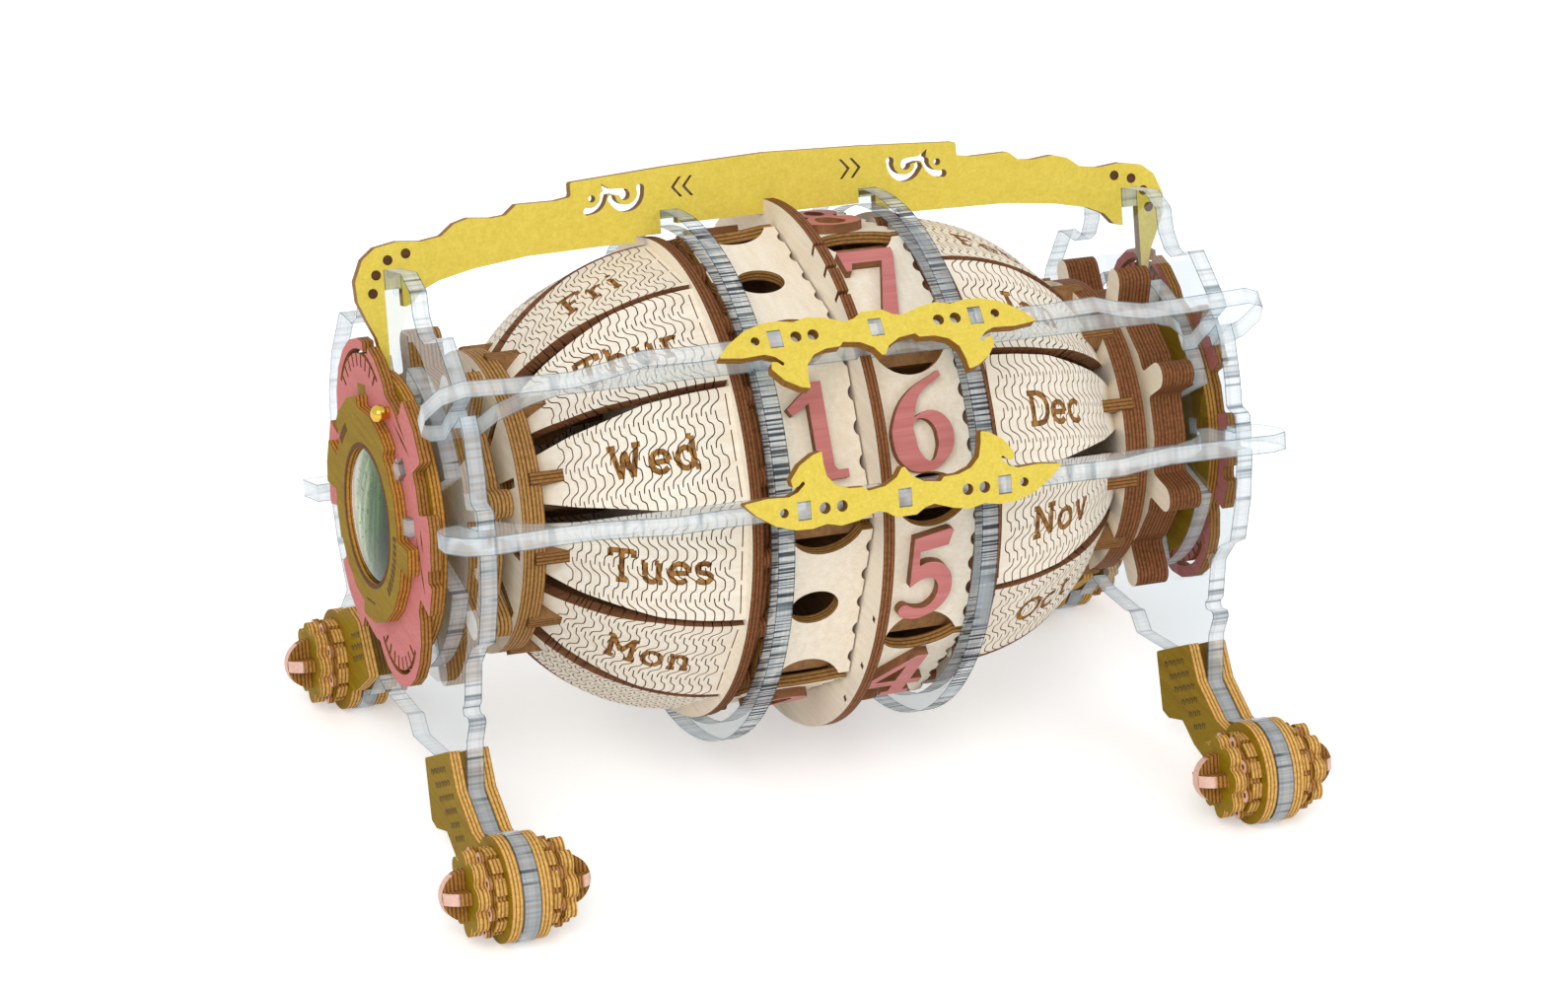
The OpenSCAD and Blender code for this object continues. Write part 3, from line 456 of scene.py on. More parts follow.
def grained(name, perMetre, stops, roughness, relief=0):
    # A matt surface whose colour follows its grain
    material = blank(name)
    grain = noiseOver(material, perMetre)
    tone = addNode(material, "ValToRGB", {"Fac": grain, "stops": stops})
    settings = {"Roughness": roughness, "Base Color": tone}
    if relief:
        settings["Normal"] = addNode(material, "Bump", {"Strength": relief, "Distance": 0.1 * mm,
                                                        "Height": grain})
    return finished(material, addNode(material, "BsdfPrincipled", settings))


def veneerFinish(name, light, dark, roughness=0.6):
    # Basswood veneer, its fine grain along the axle
    return grained(name, grains["alongAxle"], [(0.3, dark), (0.7, light)], roughness, 0.25)


lensGlass = greenLens(lensLook)
brass = polishedBrass()
# Turned beech, uncoated: warm, with its grain along the axle
beech = grained("turnedBeech", (40, 900, 900), [(0.3, "#b98a5c"), (0.7, "#dcb98c")], 0.55)
# Pale green card, printed and matt, a little uneven every 2.5 mm
card = grained("printedCard", (400, 400, 400), [(0.35, "#dfe5cb"), (0.65, "#eceed9")], 0.7)

sides = ("left", "right")
corners = [end + "_" + side for end in ("front", "back") for side in sides]
nameDrums = ("weekday", "month")
finishes = {
    acrylicEnds: ["end_plate_" + side for side in sides],
    acrylicRings: ["ring_" + side for side in sides],
    acrylicUpper: ["bar_upper"],
    acrylicLower: ["bar_lower", "bar_back", "dial_keys"],
    goldPly["board"]: ["handle"],
    goldPly["upper"]: ["ornament_upper"],
    goldPly["lower"]: ["ornament_lower"],
    barePly["middle"]: ["divider"],
    barePly["hubs"]: ["weekday_hub_discs"],
    barePly["knobs"]: ["axle_collars", "weekday_knob"],
    barePly["monthHubs"]: ["month_hub_discs"],
    barePly["monthKnobs"]: ["month_knob"],
    barePly["ends"]: [drum + part for drum in nameDrums for part in ("_big_disc", "_scallop_disc")],
    barePly["tensFlats"]: ["tens_facets", "weekday_staves", "month_staves"],
    barePly["unitsFlats"]: ["units_facets"],
    innerDarkPly["ribs"]: ["weekday_ribs", "month_ribs"],
    innerDarkPly["tensRods"]: ["tens_rods"],
    innerDarkPly["unitsRods"]: ["units_rods"],
    innerDarkPly["ends"]: ["tens_end_discs", "units_end_discs"],
    olivePly["trims"]: [part + side for part in ("trim_back_", "dial_plate_") for side in sides],
    olivePly["feet"]: [part + corner for part in ("cladding_", "foot_gears_", "foot_rosettes_")
                       for corner in corners],
    pinkPly: ["trim_plate_" + side for side in sides],
    capPly: ["foot_caps_" + corner for corner in corners],
    beech: ["axle"],
    brass: ["ball_pins"],
    card: ["dial_face_" + side for side in sides],
    lensGlass: ["lens_" + side for side in sides],
}


def dressFrame(finishes):
    for material, names in finishes.items():
        for name in names:
            slots = frame["nodes"][name].data.materials
            slots.clear()
            slots.append(material)


dressFrame(finishes)
print("frame dressed")


def only(piece):
    # Makes one piece the only selected and active one
    bpy.ops.object.select_all(action="DESELECT")
    piece.select_set(True)
    bpy.context.view_layer.objects.active = piece
    return piece


def applyModifier(piece, kind, **settings):
    only(piece)
    modifier = piece.modifiers.new(kind, kind)
    for name, value in settings.items():
        setattr(modifier, name, value)
    bpy.ops.object.modifier_apply(modifier=modifier.name)


def asMesh(curve, name):
    # Turns curve data into a mesh piece
    piece = bpy.data.objects.new(name, curve)
    bpy.context.collection.objects.link(piece)
    only(piece)
    bpy.ops.object.convert(target="MESH")
    return bpy.context.object


def joined(pieces, name):
    bpy.ops.object.select_all(action="DESELECT")
    for piece in pieces:
        piece.select_set(True)
    bpy.context.view_layer.objects.active = pieces[0]
    if len(pieces) > 1:
        bpy.ops.object.join()
    whole = bpy.context.view_layer.objects.active
    whole.name = name
    return whole


def copied(piece):
    twin = piece.copy()
    twin.data = piece.data.copy()
    bpy.context.collection.objects.link(twin)
    return twin


def mountRound(piece, angle):
    # From a bench where x runs along the axle and z points outwards, to its place round the axle
    piece.data.transform(toWorld @ Matrix.Rotation(math.radians(90 - angle), 4, "X"))


def ribbon(points, width, deep, name="ribbon", bends=2):
    # A strip standing on edge along the points, in mm, as wide as the cut that it makes
    path = bpy.data.curves.new(name, "CURVE")
    path.dimensions = "2D"
    path.fill_mode = "NONE"
    path.extrude = deep * mm / 2
    path.resolution_u = bends
    line = path.splines.new("NURBS" if bends else "POLY")
    line.points.add(len(points) - 1)
    for knot, point in zip(line.points, points):
        knot.co = (point[0] * mm, point[1] * mm, 0, 1)
    if bends:
        line.order_u = 3
        line.use_endpoint_u = True
    strip = asMesh(path, name)
    applyModifier(strip, "SOLIDIFY", thickness=width * mm, offset=0, use_even_offset=True)
    return strip


def cutAway(piece, cutter, overlapping=False):
    applyModifier(piece, "BOOLEAN", operation="DIFFERENCE", object=cutter, solver="EXACT",
                  use_self=overlapping)


def discard(piece):
    bpy.data.objects.remove(piece)


def paintByNormal(piece, faceFinish, edgeFinish, engraved=None, floorHeight=None):
    # Flat faces keep the sheet's surface, everything upright is a cut edge
    for finish in (faceFinish, edgeFinish, engraved):
        if finish:
            piece.data.materials.append(finish)
    for face in piece.data.polygons:
        face.material_index = 0 if abs(face.normal.z) > 0.5 else 1
        if engraved and face.normal.z > 0.5 and face.center.z < floorHeight * mm:
            face.material_index = 2


def arc(cx, cy, rx, ry, start, end, steps=7):
    # Points along part of an ellipse
    return [(cx + rx * math.cos(math.radians(start + (end - start) * i / steps)),
             cy + ry * math.sin(math.radians(start + (end - start) * i / steps))) for i in range(steps + 1)]


def bowl(cx, cy, rx, ry):
    return arc(cx, cy, rx, ry, 0, 360, 12)


# Slab letters as pen strokes: capitals 6 units high, small letters 4. Each has its width and its strokes
letters = {
    "A": (6, [(0.8, 0), (3, 6), (5.2, 0)], [(1.7, 2), (4.3, 2)], [(0, 0), (1.8, 0)], [(4.2, 0), (6, 0)]),
    "D": (4.8, [(1, 0), (1, 6)], [(0, 0), (2.4, 0)], [(0, 6), (2.4, 6)], arc(2.4, 3, 2.4, 3, 90, -90)),
    "F": (4.4, [(1, 0), (1, 6)], [(0, 0), (2.2, 0)], [(0, 6), (4.2, 6)], [(4.2, 6.2), (4.2, 4.7)],
          [(1, 3.2), (3, 3.2)]),
    "J": (3.6, [(1.2, 6), (3.6, 6)], [(2.4, 6), (2.4, 1.4)], arc(1.2, 1.4, 1.2, 1.4, 0, -170)),
    "M": (6.2, [(1, 0), (1, 6)], [(1, 6), (3.1, 2)], [(3.1, 2), (5.2, 6)], [(5.2, 6), (5.2, 0)],
          [(0, 0), (2, 0)], [(4.2, 0), (6.2, 0)], [(0, 6), (1.3, 6)], [(4.9, 6), (6.2, 6)]),
    "N": (5.6, [(1, 0), (1, 6)], [(1, 6), (4.6, 0)], [(4.6, 0), (4.6, 6)], [(0, 0), (2, 0)],
          [(0, 6), (1.3, 6)], [(3.6, 6), (5.6, 6)]),
    "O": (5.2, bowl(2.6, 3, 2.6, 3)),
    "S": (4, arc(2, 4.5, 1.7, 1.5, 20, 270), arc(2, 1.5, 1.8, 1.5, 90, -160)),
    "T": (5, [(0.2, 6), (4.8, 6)], [(0.2, 6.3), (0.2, 4.7)], [(4.8, 6.3), (4.8, 4.7)], [(2.5, 6), (2.5, 0)],
          [(1.4, 0), (3.6, 0)]),
    "W": (7, [(1, 6), (2.3, 0)], [(2.3, 0), (3.5, 5)], [(3.5, 5), (4.7, 0)], [(4.7, 0), (6, 6)],
          [(0.2, 6), (1.9, 6)], [(5.1, 6), (6.8, 6)]),
    "a": (4, bowl(1.8, 1.2, 1.4, 1.2), [(3.2, 0), (3.2, 2.9)], arc(1.9, 2.9, 1.3, 1.1, 0, 160),
          [(3.2, 0), (4, 0)]),
    "b": (4, [(0.9, 0), (0.9, 6)], [(0.1, 6), (0.9, 6)], bowl(2.4, 2, 1.5, 2)),
    "c": (3.8, arc(2, 2, 1.8, 2, 45, 320)),
    "d": (4.4, [(3.5, 0), (3.5, 6)], [(2.6, 6), (3.5, 6)], [(3.5, 0), (4.3, 0)], bowl(1.9, 2, 1.6, 2)),
    "e": (3.9, arc(2, 2, 1.8, 2, 0, 320, 10), [(0.2, 2), (3.8, 2)]),
    "g": (4.2, bowl(1.9, 2.2, 1.6, 1.8), [(3.5, 4), (3.5, -0.8)], arc(2, -0.8, 1.5, 1, 0, -170),
          [(3.5, 4), (4.2, 4)]),
    "h": (4.4, [(0.9, 0), (0.9, 6)], [(0.1, 6), (0.9, 6)], arc(2.2, 2.7, 1.3, 1.3, 180, 0),
          [(3.5, 2.7), (3.5, 0)], [(0.1, 0), (1.7, 0)], [(2.7, 0), (4.3, 0)]),
    "i": (2.2, [(1.1, 0), (1.1, 4)], [(0.3, 4), (1.1, 4)], [(0.3, 0), (1.9, 0)], [(1.1, 5.3), (1.1, 6.2)]),
    "l": (2.2, [(1.1, 0), (1.1, 6)], [(0.3, 6), (1.1, 6)], [(0.3, 0), (1.9, 0)]),
    "n": (4.4, [(0.9, 0), (0.9, 4)], [(0.1, 4), (0.9, 4)], arc(2.2, 2.7, 1.3, 1.3, 180, 0),
          [(3.5, 2.7), (3.5, 0)], [(0.1, 0), (1.7, 0)], [(2.7, 0), (4.3, 0)]),
    "o": (4, bowl(2, 2, 1.8, 2)),
    "p": (4, [(0.9, -2), (0.9, 4)], [(0.1, 4), (0.9, 4)], [(0.1, -2), (1.7, -2)], bowl(2.4, 2, 1.5, 2)),
    "r": (3.4, [(0.9, 0), (0.9, 4)], [(0.1, 4), (0.9, 4)], [(0.1, 0), (1.9, 0)],
          arc(2.3, 2.7, 1.4, 1.3, 180, 50)),
    "s": (3.3, arc(1.7, 3, 1.3, 1, 25, 270), arc(1.7, 1, 1.4, 1, 90, -160)),
    "t": (3.1, [(1.3, 5.6), (1.3, 1)], arc(2.3, 1, 1, 1, 180, 310), [(0.3, 4), (2.9, 4)]),
    "u": (4.4, [(0.9, 4), (0.9, 1.3)], arc(2.2, 1.3, 1.3, 1.3, 180, 360), [(3.5, 4), (3.5, 0)],
          [(0.1, 4), (0.9, 4)], [(2.7, 4), (3.5, 4)], [(3.5, 0), (4.3, 0)]),
    "v": (4, [(0.7, 4), (2, 0)], [(2, 0), (3.3, 4)], [(0, 4), (1.4, 4)], [(2.6, 4), (4, 4)]),
    "y": (4, [(0.7, 4), (2, 0.3)], [(3.3, 4), (1.5, -1.6)], [(1.5, -1.6), (0.5, -1.7)], [(0, 4), (1.4, 4)],
          [(2.6, 4), (4, 4)]),
}
# Millimetres to a letter unit and across a stroke, and units between letters and up to a word's middle
lettering = {"unit": 0.86, "stroke": 0.95, "gap": 1.1, "middle": 3}


def penStrokes(word, centre, deep):
    # All the strokes of a word, centred at a point, as one cutter
    unit, gap = lettering["unit"], lettering["gap"]
    length = sum([letters[c][0] for c in word]) + gap * (len(word) - 1)
    start = centre[0] - length * unit / 2
    strokes = []
    for character in word:
        width, *lines = letters[character]
        for line in lines:
            points = [(start + x * unit, centre[1] + (y - lettering["middle"]) * unit) for x, y in line]
            strokes.append(ribbon(points, lettering["stroke"], deep, "stroke", 0))
        start += (width + gap) * unit
    return joined(strokes, "wordCutter")


stave = {
    "count": 12, "firstAngle": 14.5, "barrelR": 38.65, "tipR": 21.5,   # mm and degrees
    # Half the width at each distance along the axle from the big end
    "halfWidths": ((0, 9.77), (7, 9.44), (14, 8.81), (20, 7.21), (25.2, 5.8), (30.2, 3.7)),
    "pegSlot": (48.7, 2.1),                       # where the slot for the peg starts, and its width
    "stations": 26, "engraved": 0.2,              # steps of the bend, and the depth of a name
    "nameAt": 36.2,                               # middle of a name, out from the object's middle
}
hinge = {
    # The laser's meandering cuts, which let the sheet bend: one cut, as (along the axle, across the stave)
    "cut": ((0, 0), (-0.05, -1.1), (-0.15, -1.75), (-0.9, -2.05), (-0.97, -2.9), (-0.95, -3.9), (0.3, -4.55),
            (0.75, -5.2), (0.8, -6.15)),
    "kerf": 0.2, "pitch": 1.6, "columns": 18, "rows": 5, "rowPitch": 5.55, "fromBigEnd": 3.0,
    "rowsToMiddle": 2.1,                          # rows from the first cut to the stave's middle line
    # Straight cuts beside the big end: their middles, half their length and their distance from it
    "endCuts": ((-6, 0, 6), 2.6, 0.9),
}
throughCut = 10                                   # depth of a cutter that goes right through the ply, mm
weekdays = ("Wed", "Thur", "Fri", "Sat", "Sun", "", "", "", "", "", "Mon", "Tues")
months = ("Dec", "Jan", "Feb", "Mar", "Apr", "May", "Jun", "Jul", "Aug", "Sep", "Oct", "Nov")

monthLow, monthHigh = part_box("month_staves")
bigX, tipX = monthLow.x / mm, monthHigh.x / mm
domeX = (bigX + tipX) / 2 - (stave["barrelR"] ** 2 - stave["tipR"] ** 2) / (2 * (tipX - bigX))
domeR = math.hypot(bigX - domeX, stave["barrelR"])


def alongDome(x):
    # Length round the dome to a distance along the axle
    return domeR * math.asin((x - domeX) / domeR)


def halfWidth(fromBigEnd, slack=0.01):
    # Straight between the listed widths; the slack takes in the tip itself
    table = stave["halfWidths"]
    for (x0, w0), (x1, w1) in zip(table, table[1:]):
        if fromBigEnd <= x1 + slack:
            return w0 + (w1 - w0) * (fromBigEnd - x0) / (x1 - x0)
    return table[-1][1]


def flatStave():
    # A stave as the laser cuts it, before it is bent, with its outer face at height 0
    near, far = alongDome(bigX), alongDome(tipX)
    bpy.ops.mesh.primitive_grid_add(x_subdivisions=stave["stations"], y_subdivisions=1, size=mm,
                                    location=((near + far) / 2 * mm, 0, 0))
    plate = only(bpy.context.object)
    plate.scale = (far - near, 2, 1)
    bpy.ops.object.transform_apply(location=True, scale=True)
    for corner in plate.data.vertices:
        x = domeX + domeR * math.sin(corner.co.x / mm / domeR)
        corner.co.y *= halfWidth(x - bigX)
    applyModifier(plate, "SOLIDIFY", thickness=sheet["ply"] * mm, offset=-1)
    # The slot for the peg, open at the tip, and three straight cuts beside the big end
    start, width = stave["pegSlot"]
    beyond = far + 5
    cutters = [ribbon([(alongDome(start), 0), (beyond, 0)], width, throughCut, "slotCutter", 0)]
    middles, half, inset = hinge["endCuts"]
    for middle in middles:
        ends = [(near + inset, middle - half), (near + inset, middle + half)]
        cutters.append(ribbon(ends, hinge["kerf"], throughCut, "cut", 0))
    cutter = joined(cutters, "endCutter")
    cutAway(plate, cutter)
    discard(cutter)
    return plate


def hingeCutter(flip):
    # All the meandering cuts of one stave
    top = 1 if flip else -1
    cut = ribbon([(x, -top * y) for x, y in hinge["cut"]], hinge["kerf"], throughCut, "hingeCut")
    for count, step in ((hinge["rows"], (0, top * hinge["rowPitch"] * mm, 0)),
                        (hinge["columns"], (hinge["pitch"] * mm, 0, 0))):
        applyModifier(cut, "ARRAY", count=count, use_relative_offset=False, use_constant_offset=True,
                      constant_offset_displace=step)
    cut.data.transform(Matrix.Translation(((alongDome(bigX) + hinge["fromBigEnd"]) * mm,
                                           -top * hinge["rowPitch"] * hinge["rowsToMiddle"] * mm, 0)))
    return cut


def cutStave(side, flip):
    # The whole flat stave of one drum, mirrored for the left one
    plate = flatStave()
    cutter = hingeCutter(flip)
    cutAway(plate, cutter)
    discard(cutter)
    if side < 0:
        only(plate)
        plate.data.transform(Matrix.Scale(-1, 4, (1, 0, 0)))
        plate.data.flip_normals()
    return plate


def engrave(plate, side, word):
    # The cutter stands half in the sheet, so it goes as deep as a name is engraved
    cutter = penStrokes(word, (side * alongDome(stave["nameAt"]), 0), 2 * stave["engraved"])
    cutAway(plate, cutter, overlapping=True)
    discard(cutter)


def bendOverDome(plate, side):
    # Wraps the flat stave round the dome; its width stays flat, as ply bends one way only, and no point of
    # it reaches past the big disc
    for corner in plate.data.vertices:
        turn = corner.co.x / (domeR * mm)
        reach = domeR * mm + corner.co.z
        x = side * domeX * mm + reach * math.sin(turn)
        corner.co.x = side * max(side * x, bigX * mm)
        corner.co.z = reach * math.cos(turn)


def buildStaves(drum, side, names):
    patterns = [cutStave(side, flip) for flip in (False, True)]
    staves = []
    for i, word in enumerate(names):
        plate = copied(patterns[i % 2])
        if word:
            engrave(plate, side, word)
        paintByNormal(plate, veneer, char, scorch, -stave["engraved"] / 2)
        bendOverDome(plate, side)
        mountRound(plate, stave["firstAngle"] + 360 / stave["count"] * i)
        staves.append(plate)
    for pattern in patterns:
        discard(pattern)
    whole = joined(staves, drum + "_slatted_staves")
    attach(whole, drum + "_drum")
    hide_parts(drum + "_staves")


# Sanded basswood is pale and even, cut right through it is charred brown and matt, and engraved it is
# singed from amber to brown
veneer = veneerFinish("sandedBasswoodVeneer", "#fbf3e4", "#f1e4ce")
char = veneerFinish("laserCharredEdge", "#95623a", "#6b4226", 0.75)
scorch = veneerFinish("laserScorchedMark", "#c08a3c", "#6a3c16", 0.8)
buildStaves("weekday", -1, weekdays)
buildStaves("month", 1, months)
print("staves bent")

lobedDisc = {
    "faceX": plateAt["bigDiscs"], "rimR": 38.3, "boreR": 3.08, "lobeAt": 38.9, "lobeR": 1.7,   # mm
    # Number of lobes; then degrees: the first one, half the arc of each and its steps, and where its plain
    # rim starts
    "lobes": 18, "firstLobe": 6.0, "halfArc": 120, "arcStep": 20, "clear": 3.2,
    "steps": 8,                                   # steps of plain rim between two lobes
}


def circle(reach, count):
    # A closed round outline, as (radius, angle) points about the axle
    return [(reach, 360 / count * k) for k in range(count)]


def discOutline(disc):
    # A circle with small round lobes standing on it
    points = []
    step = 360 / disc["lobes"]
    plain = step - 2 * disc["clear"]
    centre = Vector((disc["lobeAt"], 0))
    for i in range(disc["lobes"]):
        middle = disc["firstLobe"] + i * step
        for turn in range(-disc["halfArc"], disc["halfArc"] + 1, disc["arcStep"]):
            outward = Vector((math.cos(math.radians(turn)), math.sin(math.radians(turn))))
            corner = centre + outward * disc["lobeR"]
            points.append((corner.length, middle + math.degrees(math.atan2(corner.y, corner.x))))
        for k in range(1, disc["steps"]):
            points.append((disc["rimR"], middle + disc["clear"] + plain * k / disc["steps"]))
    return points


def flatCurve(name, thick):
    # A curve whose closed outlines fill to a flat piece of this thickness, in mm
    curve = bpy.data.curves.new(name, "CURVE")
    curve.dimensions = "2D"
    curve.fill_mode = "BOTH"
    curve.extrude = thick / 2 * mm
    return curve


def drawFlat(name, outlines, thick):
    # A flat piece from closed outlines with straight edges, in mm
    curve = flatCurve(name, thick)
    for outline in outlines:
        line = curve.splines.new("POLY")
        line.use_cyclic_u = True
        line.points.add(len(outline) - 1)
        for knot, point in zip(line.points, outline):
            knot.co = (point[0] * mm, point[1] * mm, 0, 1)
    return asMesh(curve, name)


def drawRing(name, rings, thick):
    # The same from rings of (radius, angle) points, the angle upwards from the front
    outlines = [[(reach * math.sin(math.radians(angle)), -reach * math.cos(math.radians(angle)))
                 for reach, angle in ring] for ring in rings]
    return drawFlat(name, outlines, thick)


def standAcross(piece, x):
    # From a bench with the front towards -y and up towards +x, to a plate square to the axle at x
    upright = Matrix.Rotation(math.radians(-90), 4, "Y")
    piece.data.transform(toWorld @ Matrix.Translation((x * mm, 0, 0)) @ upright)


def buildLobedDisc(drum, side):
    outlines = [discOutline(lobedDisc), circle(lobedDisc["boreR"], count=36)]
    disc = drawRing(drum + "_lobed_disc", outlines, sheet["ply"])
    standAcross(disc, side * (lobedDisc["faceX"] + sheet["ply"] / 2))
    disc.data.materials.append(barePly["ends"])
    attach(disc, drum + "_drum")
    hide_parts(drum + "_scallop_disc")


buildLobedDisc("weekday", -1)
buildLobedDisc("month", 1)
print("lobed discs cut")

dialMarks = {
    "faceX": 75.0, "proud": 0.05,
    "rim": (11.56, 12.3),                         # burnt ring round the window
    # Rows of short strokes: radius, first and last angle above level front, how many, length, width
    "rows": ((16.2, 120, 134, 5, 1.5, 0.7), (14.6, -9, -53, 10, 1.5, 0.8), (14.9, -88, -105, 1, 0.3, 4.4)),
}
cardMarks = {
    "faceX": 73.5, "proud": 0.03,
    "rows": ((9.6, 0, 345, 24, 0.9, 0.3), (7.2, 0, 330, 12, 1.3, 0.5), (4.4, 0, 315, 8, 1.0, 0.9)),
}
bootMarks = {
    "legX": plateAt["leg"], "faceFromLeg": 3.5, "proud": 0.04,
    "arch": ((-0.6, -0.5), (-0.6, 0.45), (0.6, 0.45), (0.6, -0.5), (0.3, -0.5), (0.3, 0.12), (-0.3, 0.12),
             (-0.3, -0.5)),
    "pitch": (1.62, -0.38),                       # from one arch to the next, back and up
    # Foot centre, first row, step between rows, arches in each row, as (back, up)
    "front": ((-40.21, -56.95), (25.0, 15.6), (-1.75, -2.0), (5, 5, 5, 4, 3, 3)),
    "back": ((38.88, -30.49), (-12.6, 6.0), (-0.4, -1.9), (3, 4, 4)),
}
handleDots = {
    "r": 0.87, "thick": 1.5, "points": 24, "legX": plateAt["leg"], "ringR": 45.545,
    "at": ((3.6, -8.7), (2.8, -5.7), (0.6, -3.4), (-2.6, -2.6)),   # from the top of each end plate
}


def strokeRow(reach, first, last, count, long, wide):
    # Short radial strokes spread over an arc, as rings of (radius, angle) points
    rings = []
    for i in range(count):
        middle = first + (last - first) * (i / (count - 1) if count > 1 else 0.5)
        half = math.degrees(wide / 2 / reach)
        rings.append([(reach - long / 2, middle - half), (reach + long / 2, middle - half),
                      (reach + long / 2, middle + half), (reach - long / 2, middle + half)])
    return rings


def buildMarks(name, side, marks, finish):
    rings = [ring for row in marks["rows"] for ring in strokeRow(*row)]
    if "rim" in marks:
        rings += [circle(reach, count=72) for reach in marks["rim"]]
    piece = drawRing(name, rings, 2 * marks["proud"])
    standAcross(piece, side * marks["faceX"])
    piece.data.materials.append(finish)
    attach(piece, "frame")


def archOutlines(place):
    # Every arch of one boot as a closed outline of (up, back) points
    centre, first, step, rows = place
    outlines = []
    for row, count in enumerate(rows):
        for i in range(count):
            along = i - (count - 1) / 2
            back = centre[0] + first[0] + step[0] * row + bootMarks["pitch"][0] * along
            up = centre[1] + first[1] + step[1] * row + bootMarks["pitch"][1] * along
            outlines.append([(up + z, back + y) for y, z in bootMarks["arch"]])
    return outlines


def markBoots(finish):
    # Small burnt arches on both outer faces of each boot
    marks = []
    for place in (bootMarks["front"], bootMarks["back"]):
        for leg in (-bootMarks["legX"], bootMarks["legX"]):
            for face in (-bootMarks["faceFromLeg"], bootMarks["faceFromLeg"]):
                piece = drawFlat("arches", archOutlines(place), 2 * bootMarks["proud"])
                standAcross(piece, leg + face)
                marks.append(piece)
    whole = joined(marks, "burnt_boot_arches")
    whole.data.materials.append(finish)
    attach(whole, "frame")


def plugHandle(dots, finish):
    # Burnt dots fill the small round holes near the ends of the handle board
    plugs = []
    for side in (-1, 1):
        for along, up in dots["at"]:
            bpy.ops.mesh.primitive_cylinder_add(vertices=dots["points"], radius=dots["r"] * mm,
                                                depth=dots["thick"] * mm)
            plug = bpy.context.object
            centre = Matrix.Translation((side * (dots["legX"] + along) * mm, 0, (dots["ringR"] + up) * mm))
            plug.data.transform(toWorld @ centre @ Matrix.Rotation(math.radians(90), 4, "X"))
            plugs.append(plug)
    whole = joined(plugs, "burnt_handle_dots")
    whole.data.materials.append(finish)
    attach(whole, "frame")


# Marks burnt into wood are dark and matt, through olive paint a little greener, and card ink is uneven
burntMark = veneerFinish("laserBurntMark", "#6b4120", "#432610", 0.85)
oliveMark = veneerFinish("oliveArchMark", "#634a14", "#46340d", 0.8)
cardInk = veneerFinish("printedCardInk", "#6f7f55", "#49563a", 0.7)
for side, end in ((-1, "left"), (1, "right")):
    buildMarks("dial_burnt_marks_" + end, side, dialMarks, burntMark)
    buildMarks("dial_card_print_" + end, side, cardMarks, cardInk)
plugHandle(handleDots, burntMark)
markBoots(oliveMark)
print("marks burnt")

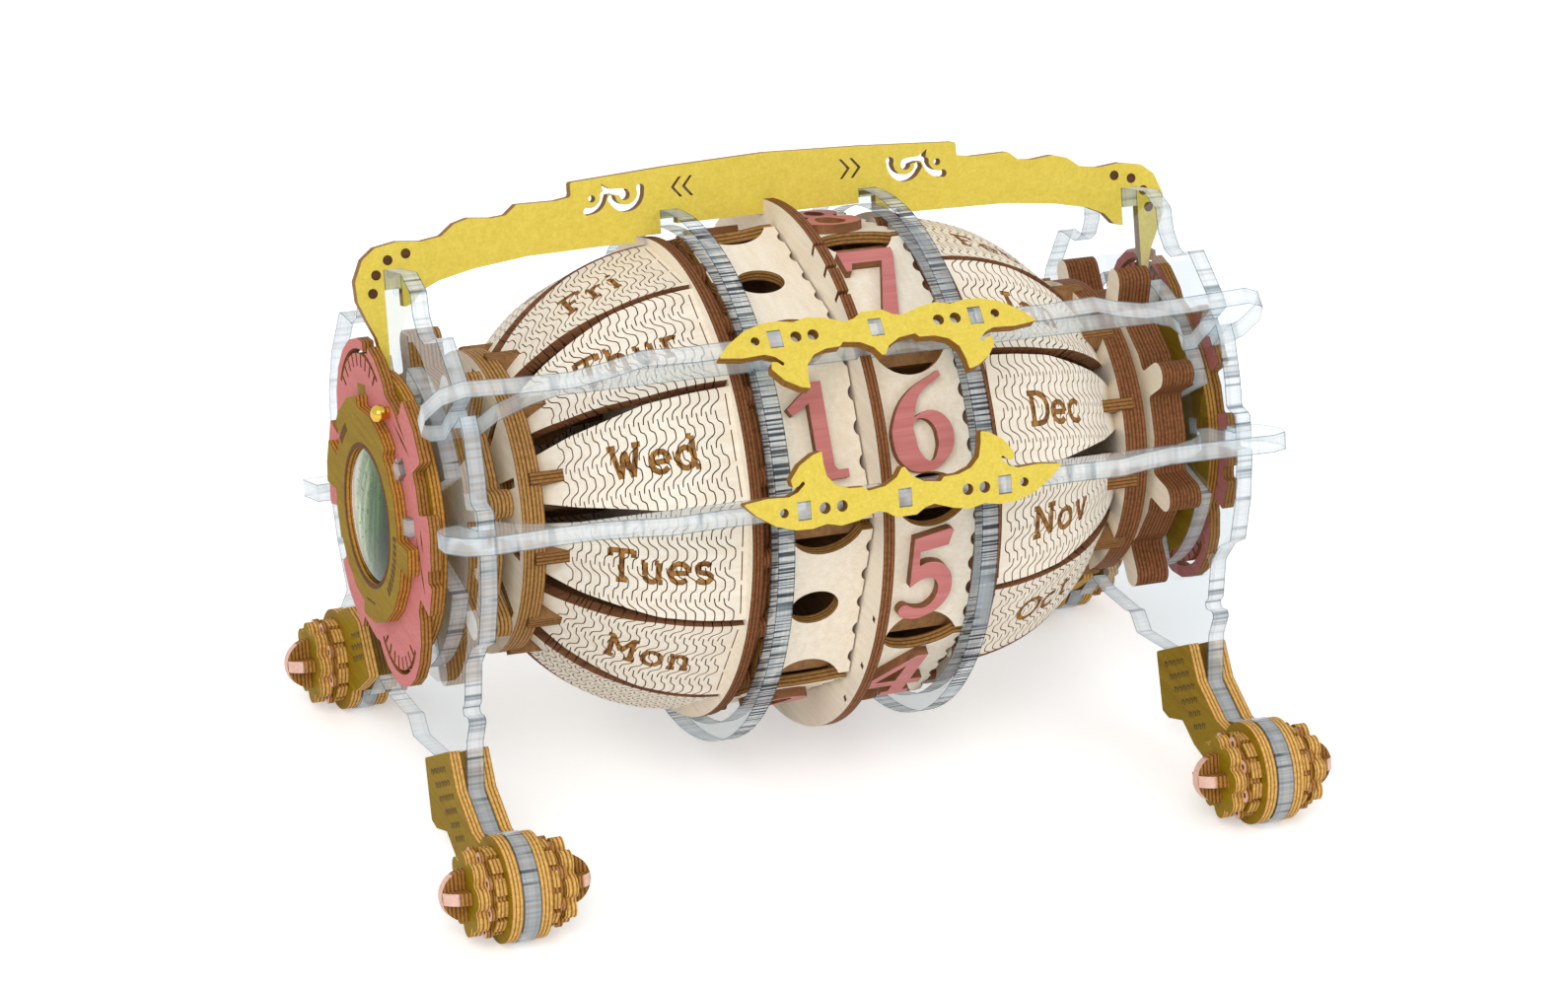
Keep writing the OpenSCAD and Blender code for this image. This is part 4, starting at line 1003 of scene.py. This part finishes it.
# Old-style figures 16.5 mm high, as closed outlines; a third entry marks a sharp corner
figures = {
    "0": [[(5.4, 16.5), (9.4, 13.4), (10.8, 8.25), (9.4, 3.1), (5.4, 0), (1.4, 3.1), (0, 8.25), (1.4, 13.4)],
          [(5.4, 14.7), (3.7, 12.5), (3.1, 8.25), (3.7, 4), (5.4, 1.8), (7.1, 4), (7.7, 8.25), (7.1, 12.5)]],
    "1": [[(3.9, 16.5, 1), (6.6, 16.5, 1), (6.7, 2.3, 1), (7.2, 1.6, 1), (9, 1.6, 1), (9, 0.2, 1),
           (3.9, 0, 1), (3.9, 13, 1), (0.8, 11.2, 1), (0, 12.4, 1), (3.9, 15.4, 1)]],
    "2": [[(0.4, 12), (0.9, 14.9), (4.8, 16.5), (9.2, 14.6), (9.6, 11.2), (7.6, 7.6), (3.6, 3.0, 1),
           (8.6, 3, 1), (9.3, 4.6, 1), (10.2, 4.6, 1), (9.8, 0, 1), (0, 0, 1), (0, 1.2, 1), (4.6, 6.9),
           (6.6, 10.8), (5.9, 14), (3.9, 14.8), (3.3, 12.6), (1.9, 11.1)]],
    "3": [[(0.6, 14.6), (4.6, 16.5), (8.4, 14.9), (8.6, 11.2), (6.8, 9.2, 1), (9.4, 7.4), (9.6, 3.4),
           (6.8, 0.6), (3, 0), (0.2, 1), (0.3, 2.7), (2.1, 2.7), (4, 1.7), (6.3, 3), (6.7, 5.6), (4.8, 7.7),
           (2.8, 7.9, 1), (2.8, 9.2, 1), (5.3, 10.4), (5.8, 13.2), (3.9, 14.8), (1.5, 13.6)]],
    "4": [[(6.6, 16.5, 1), (8.6, 16.5, 1), (8.6, 6, 1), (10.8, 6, 1), (10.8, 4, 1), (8.6, 4, 1),
           (8.6, 1.5, 1), (9.8, 1.5, 1), (9.8, 0, 1), (4.7, 0, 1), (4.7, 1.5, 1), (5.9, 1.5, 1), (5.9, 4, 1),
           (0, 4, 1), (0, 5.6, 1)],
          [(5.9, 12.4, 1), (2.1, 6, 1), (5.9, 6, 1)]],
    "5": [[(1.9, 15.2, 1), (8, 16.5, 1), (8.8, 16.1, 1), (8.1, 13.4, 1), (3.1, 12.6, 1), (3.2, 9.9, 1),
           (5.2, 10.5), (8.1, 9.2), (9.4, 5.7), (8.1, 2.1), (5, 0.2), (2, 0), (0.1, 1.1), (0.8, 2.6),
           (3, 1.9), (5.2, 2), (6.9, 4.6), (6.2, 7), (4.4, 7.4), (1.8, 6, 1)]],
    "6": [[(9.9, 16.5, 1), (10.2, 15.6, 1), (9.2, 15, 1), (5.9, 12.8), (4.4, 9.2, 1), (7.3, 10.1), (9.9, 8.7),
           (10.9, 5.3), (8.9, 1.6), (4.7, 0), (1.3, 1.5), (0, 5.7), (0.7, 9), (3.5, 13.1)],
          [(4.3, 8.4), (4.1, 5.7), (4.7, 3), (6.2, 1.7), (7.6, 3.3), (8, 5.7), (7.4, 7.8), (5.8, 8.9)]],
    "7": [[(0, 16.5, 1), (9.8, 16.5, 1), (9.8, 15.2, 1), (5.4, 0, 1), (2.4, 0, 1), (7.2, 13.7, 1),
           (1.8, 13.7, 1), (1.2, 12, 1), (0.3, 12, 1)]],
    "8": [[(5, 16.5), (8.6, 15), (8.9, 11.4), (7.3, 9.2), (9.8, 6.4), (9.6, 2.4), (5, 0), (0.4, 2.4),
           (0.2, 6.4), (2.7, 9.2), (1.1, 11.4), (1.4, 15)],
          [(5, 15), (3.6, 13.4), (4.2, 11), (5.6, 10), (6.6, 12), (6.2, 14.2)],
          [(4.4, 8.2), (2.6, 5.6), (3, 2.8), (5, 1.4), (7, 2.8), (7, 5)]],
}
# A 9 is a 6 turned half round
figures["9"] = [[(10.9 - p[0], 16.5 - p[1], *p[2:]) for p in outline] for outline in figures["6"]]
# Outer face of the flats and middle of the drum, in mm, and the figure on each flat, with _ for a bare one
numberDrum = {
    "tens": {"flat": 38.9, "middle": -9.2, "lie": tensLie, "shown": "1_2_3_0_"},
    "units": {"flat": 40.0, "middle": 8.9, "lie": unitsLie, "shown": "6789012345"},
}
figureThick = 1.6                                 # mm


def sawFigure(outlines, thick):
    # One figure cut from thin ply, standing on height 0 and centred on its middle
    curve = flatCurve("figure", thick)
    curve.resolution_u = 6
    for points in outlines:
        spline = curve.splines.new("BEZIER")
        spline.use_cyclic_u = True
        spline.bezier_points.add(len(points) - 1)
        for knot, point in zip(spline.bezier_points, points):
            knot.co = (point[0] * mm, point[1] * mm, 0)
            knot.handle_left_type = knot.handle_right_type = "VECTOR" if len(point) > 2 else "AUTO"
    figure = asMesh(curve, "figure")
    width = max([p[0] for p in outlines[0]])
    height = max([p[1] for p in outlines[0]])
    figure.data.transform(Matrix.Translation((-width / 2 * mm, -height / 2 * mm, thick / 2 * mm)))
    return figure


def buildFigures(drum, spec):
    pieces = []
    for i, digit in enumerate(spec["shown"]):
        if digit == "_":
            continue
        figure = sawFigure(figures[digit], figureThick)
        paintByNormal(figure, pinkVeneer, char)
        figure.data.transform(Matrix.Translation((spec["middle"] * mm, 0, spec["flat"] * mm)))
        mountRound(figure, spec["lie"]["first"] + 360 / spec["lie"]["count"] * i)
        pieces.append(figure)
    whole = joined(pieces, drum + "_raised_figures")
    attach(whole, drum + "_drum")


# Basswood stained pink: the grain shows through
pinkVeneer = veneerFinish("pinkStainedVeneer", "#cf7f7b", "#bd6864", 0.55)
for drum, spec in numberDrum.items():
    buildFigures(drum, spec)
print("figures mounted")
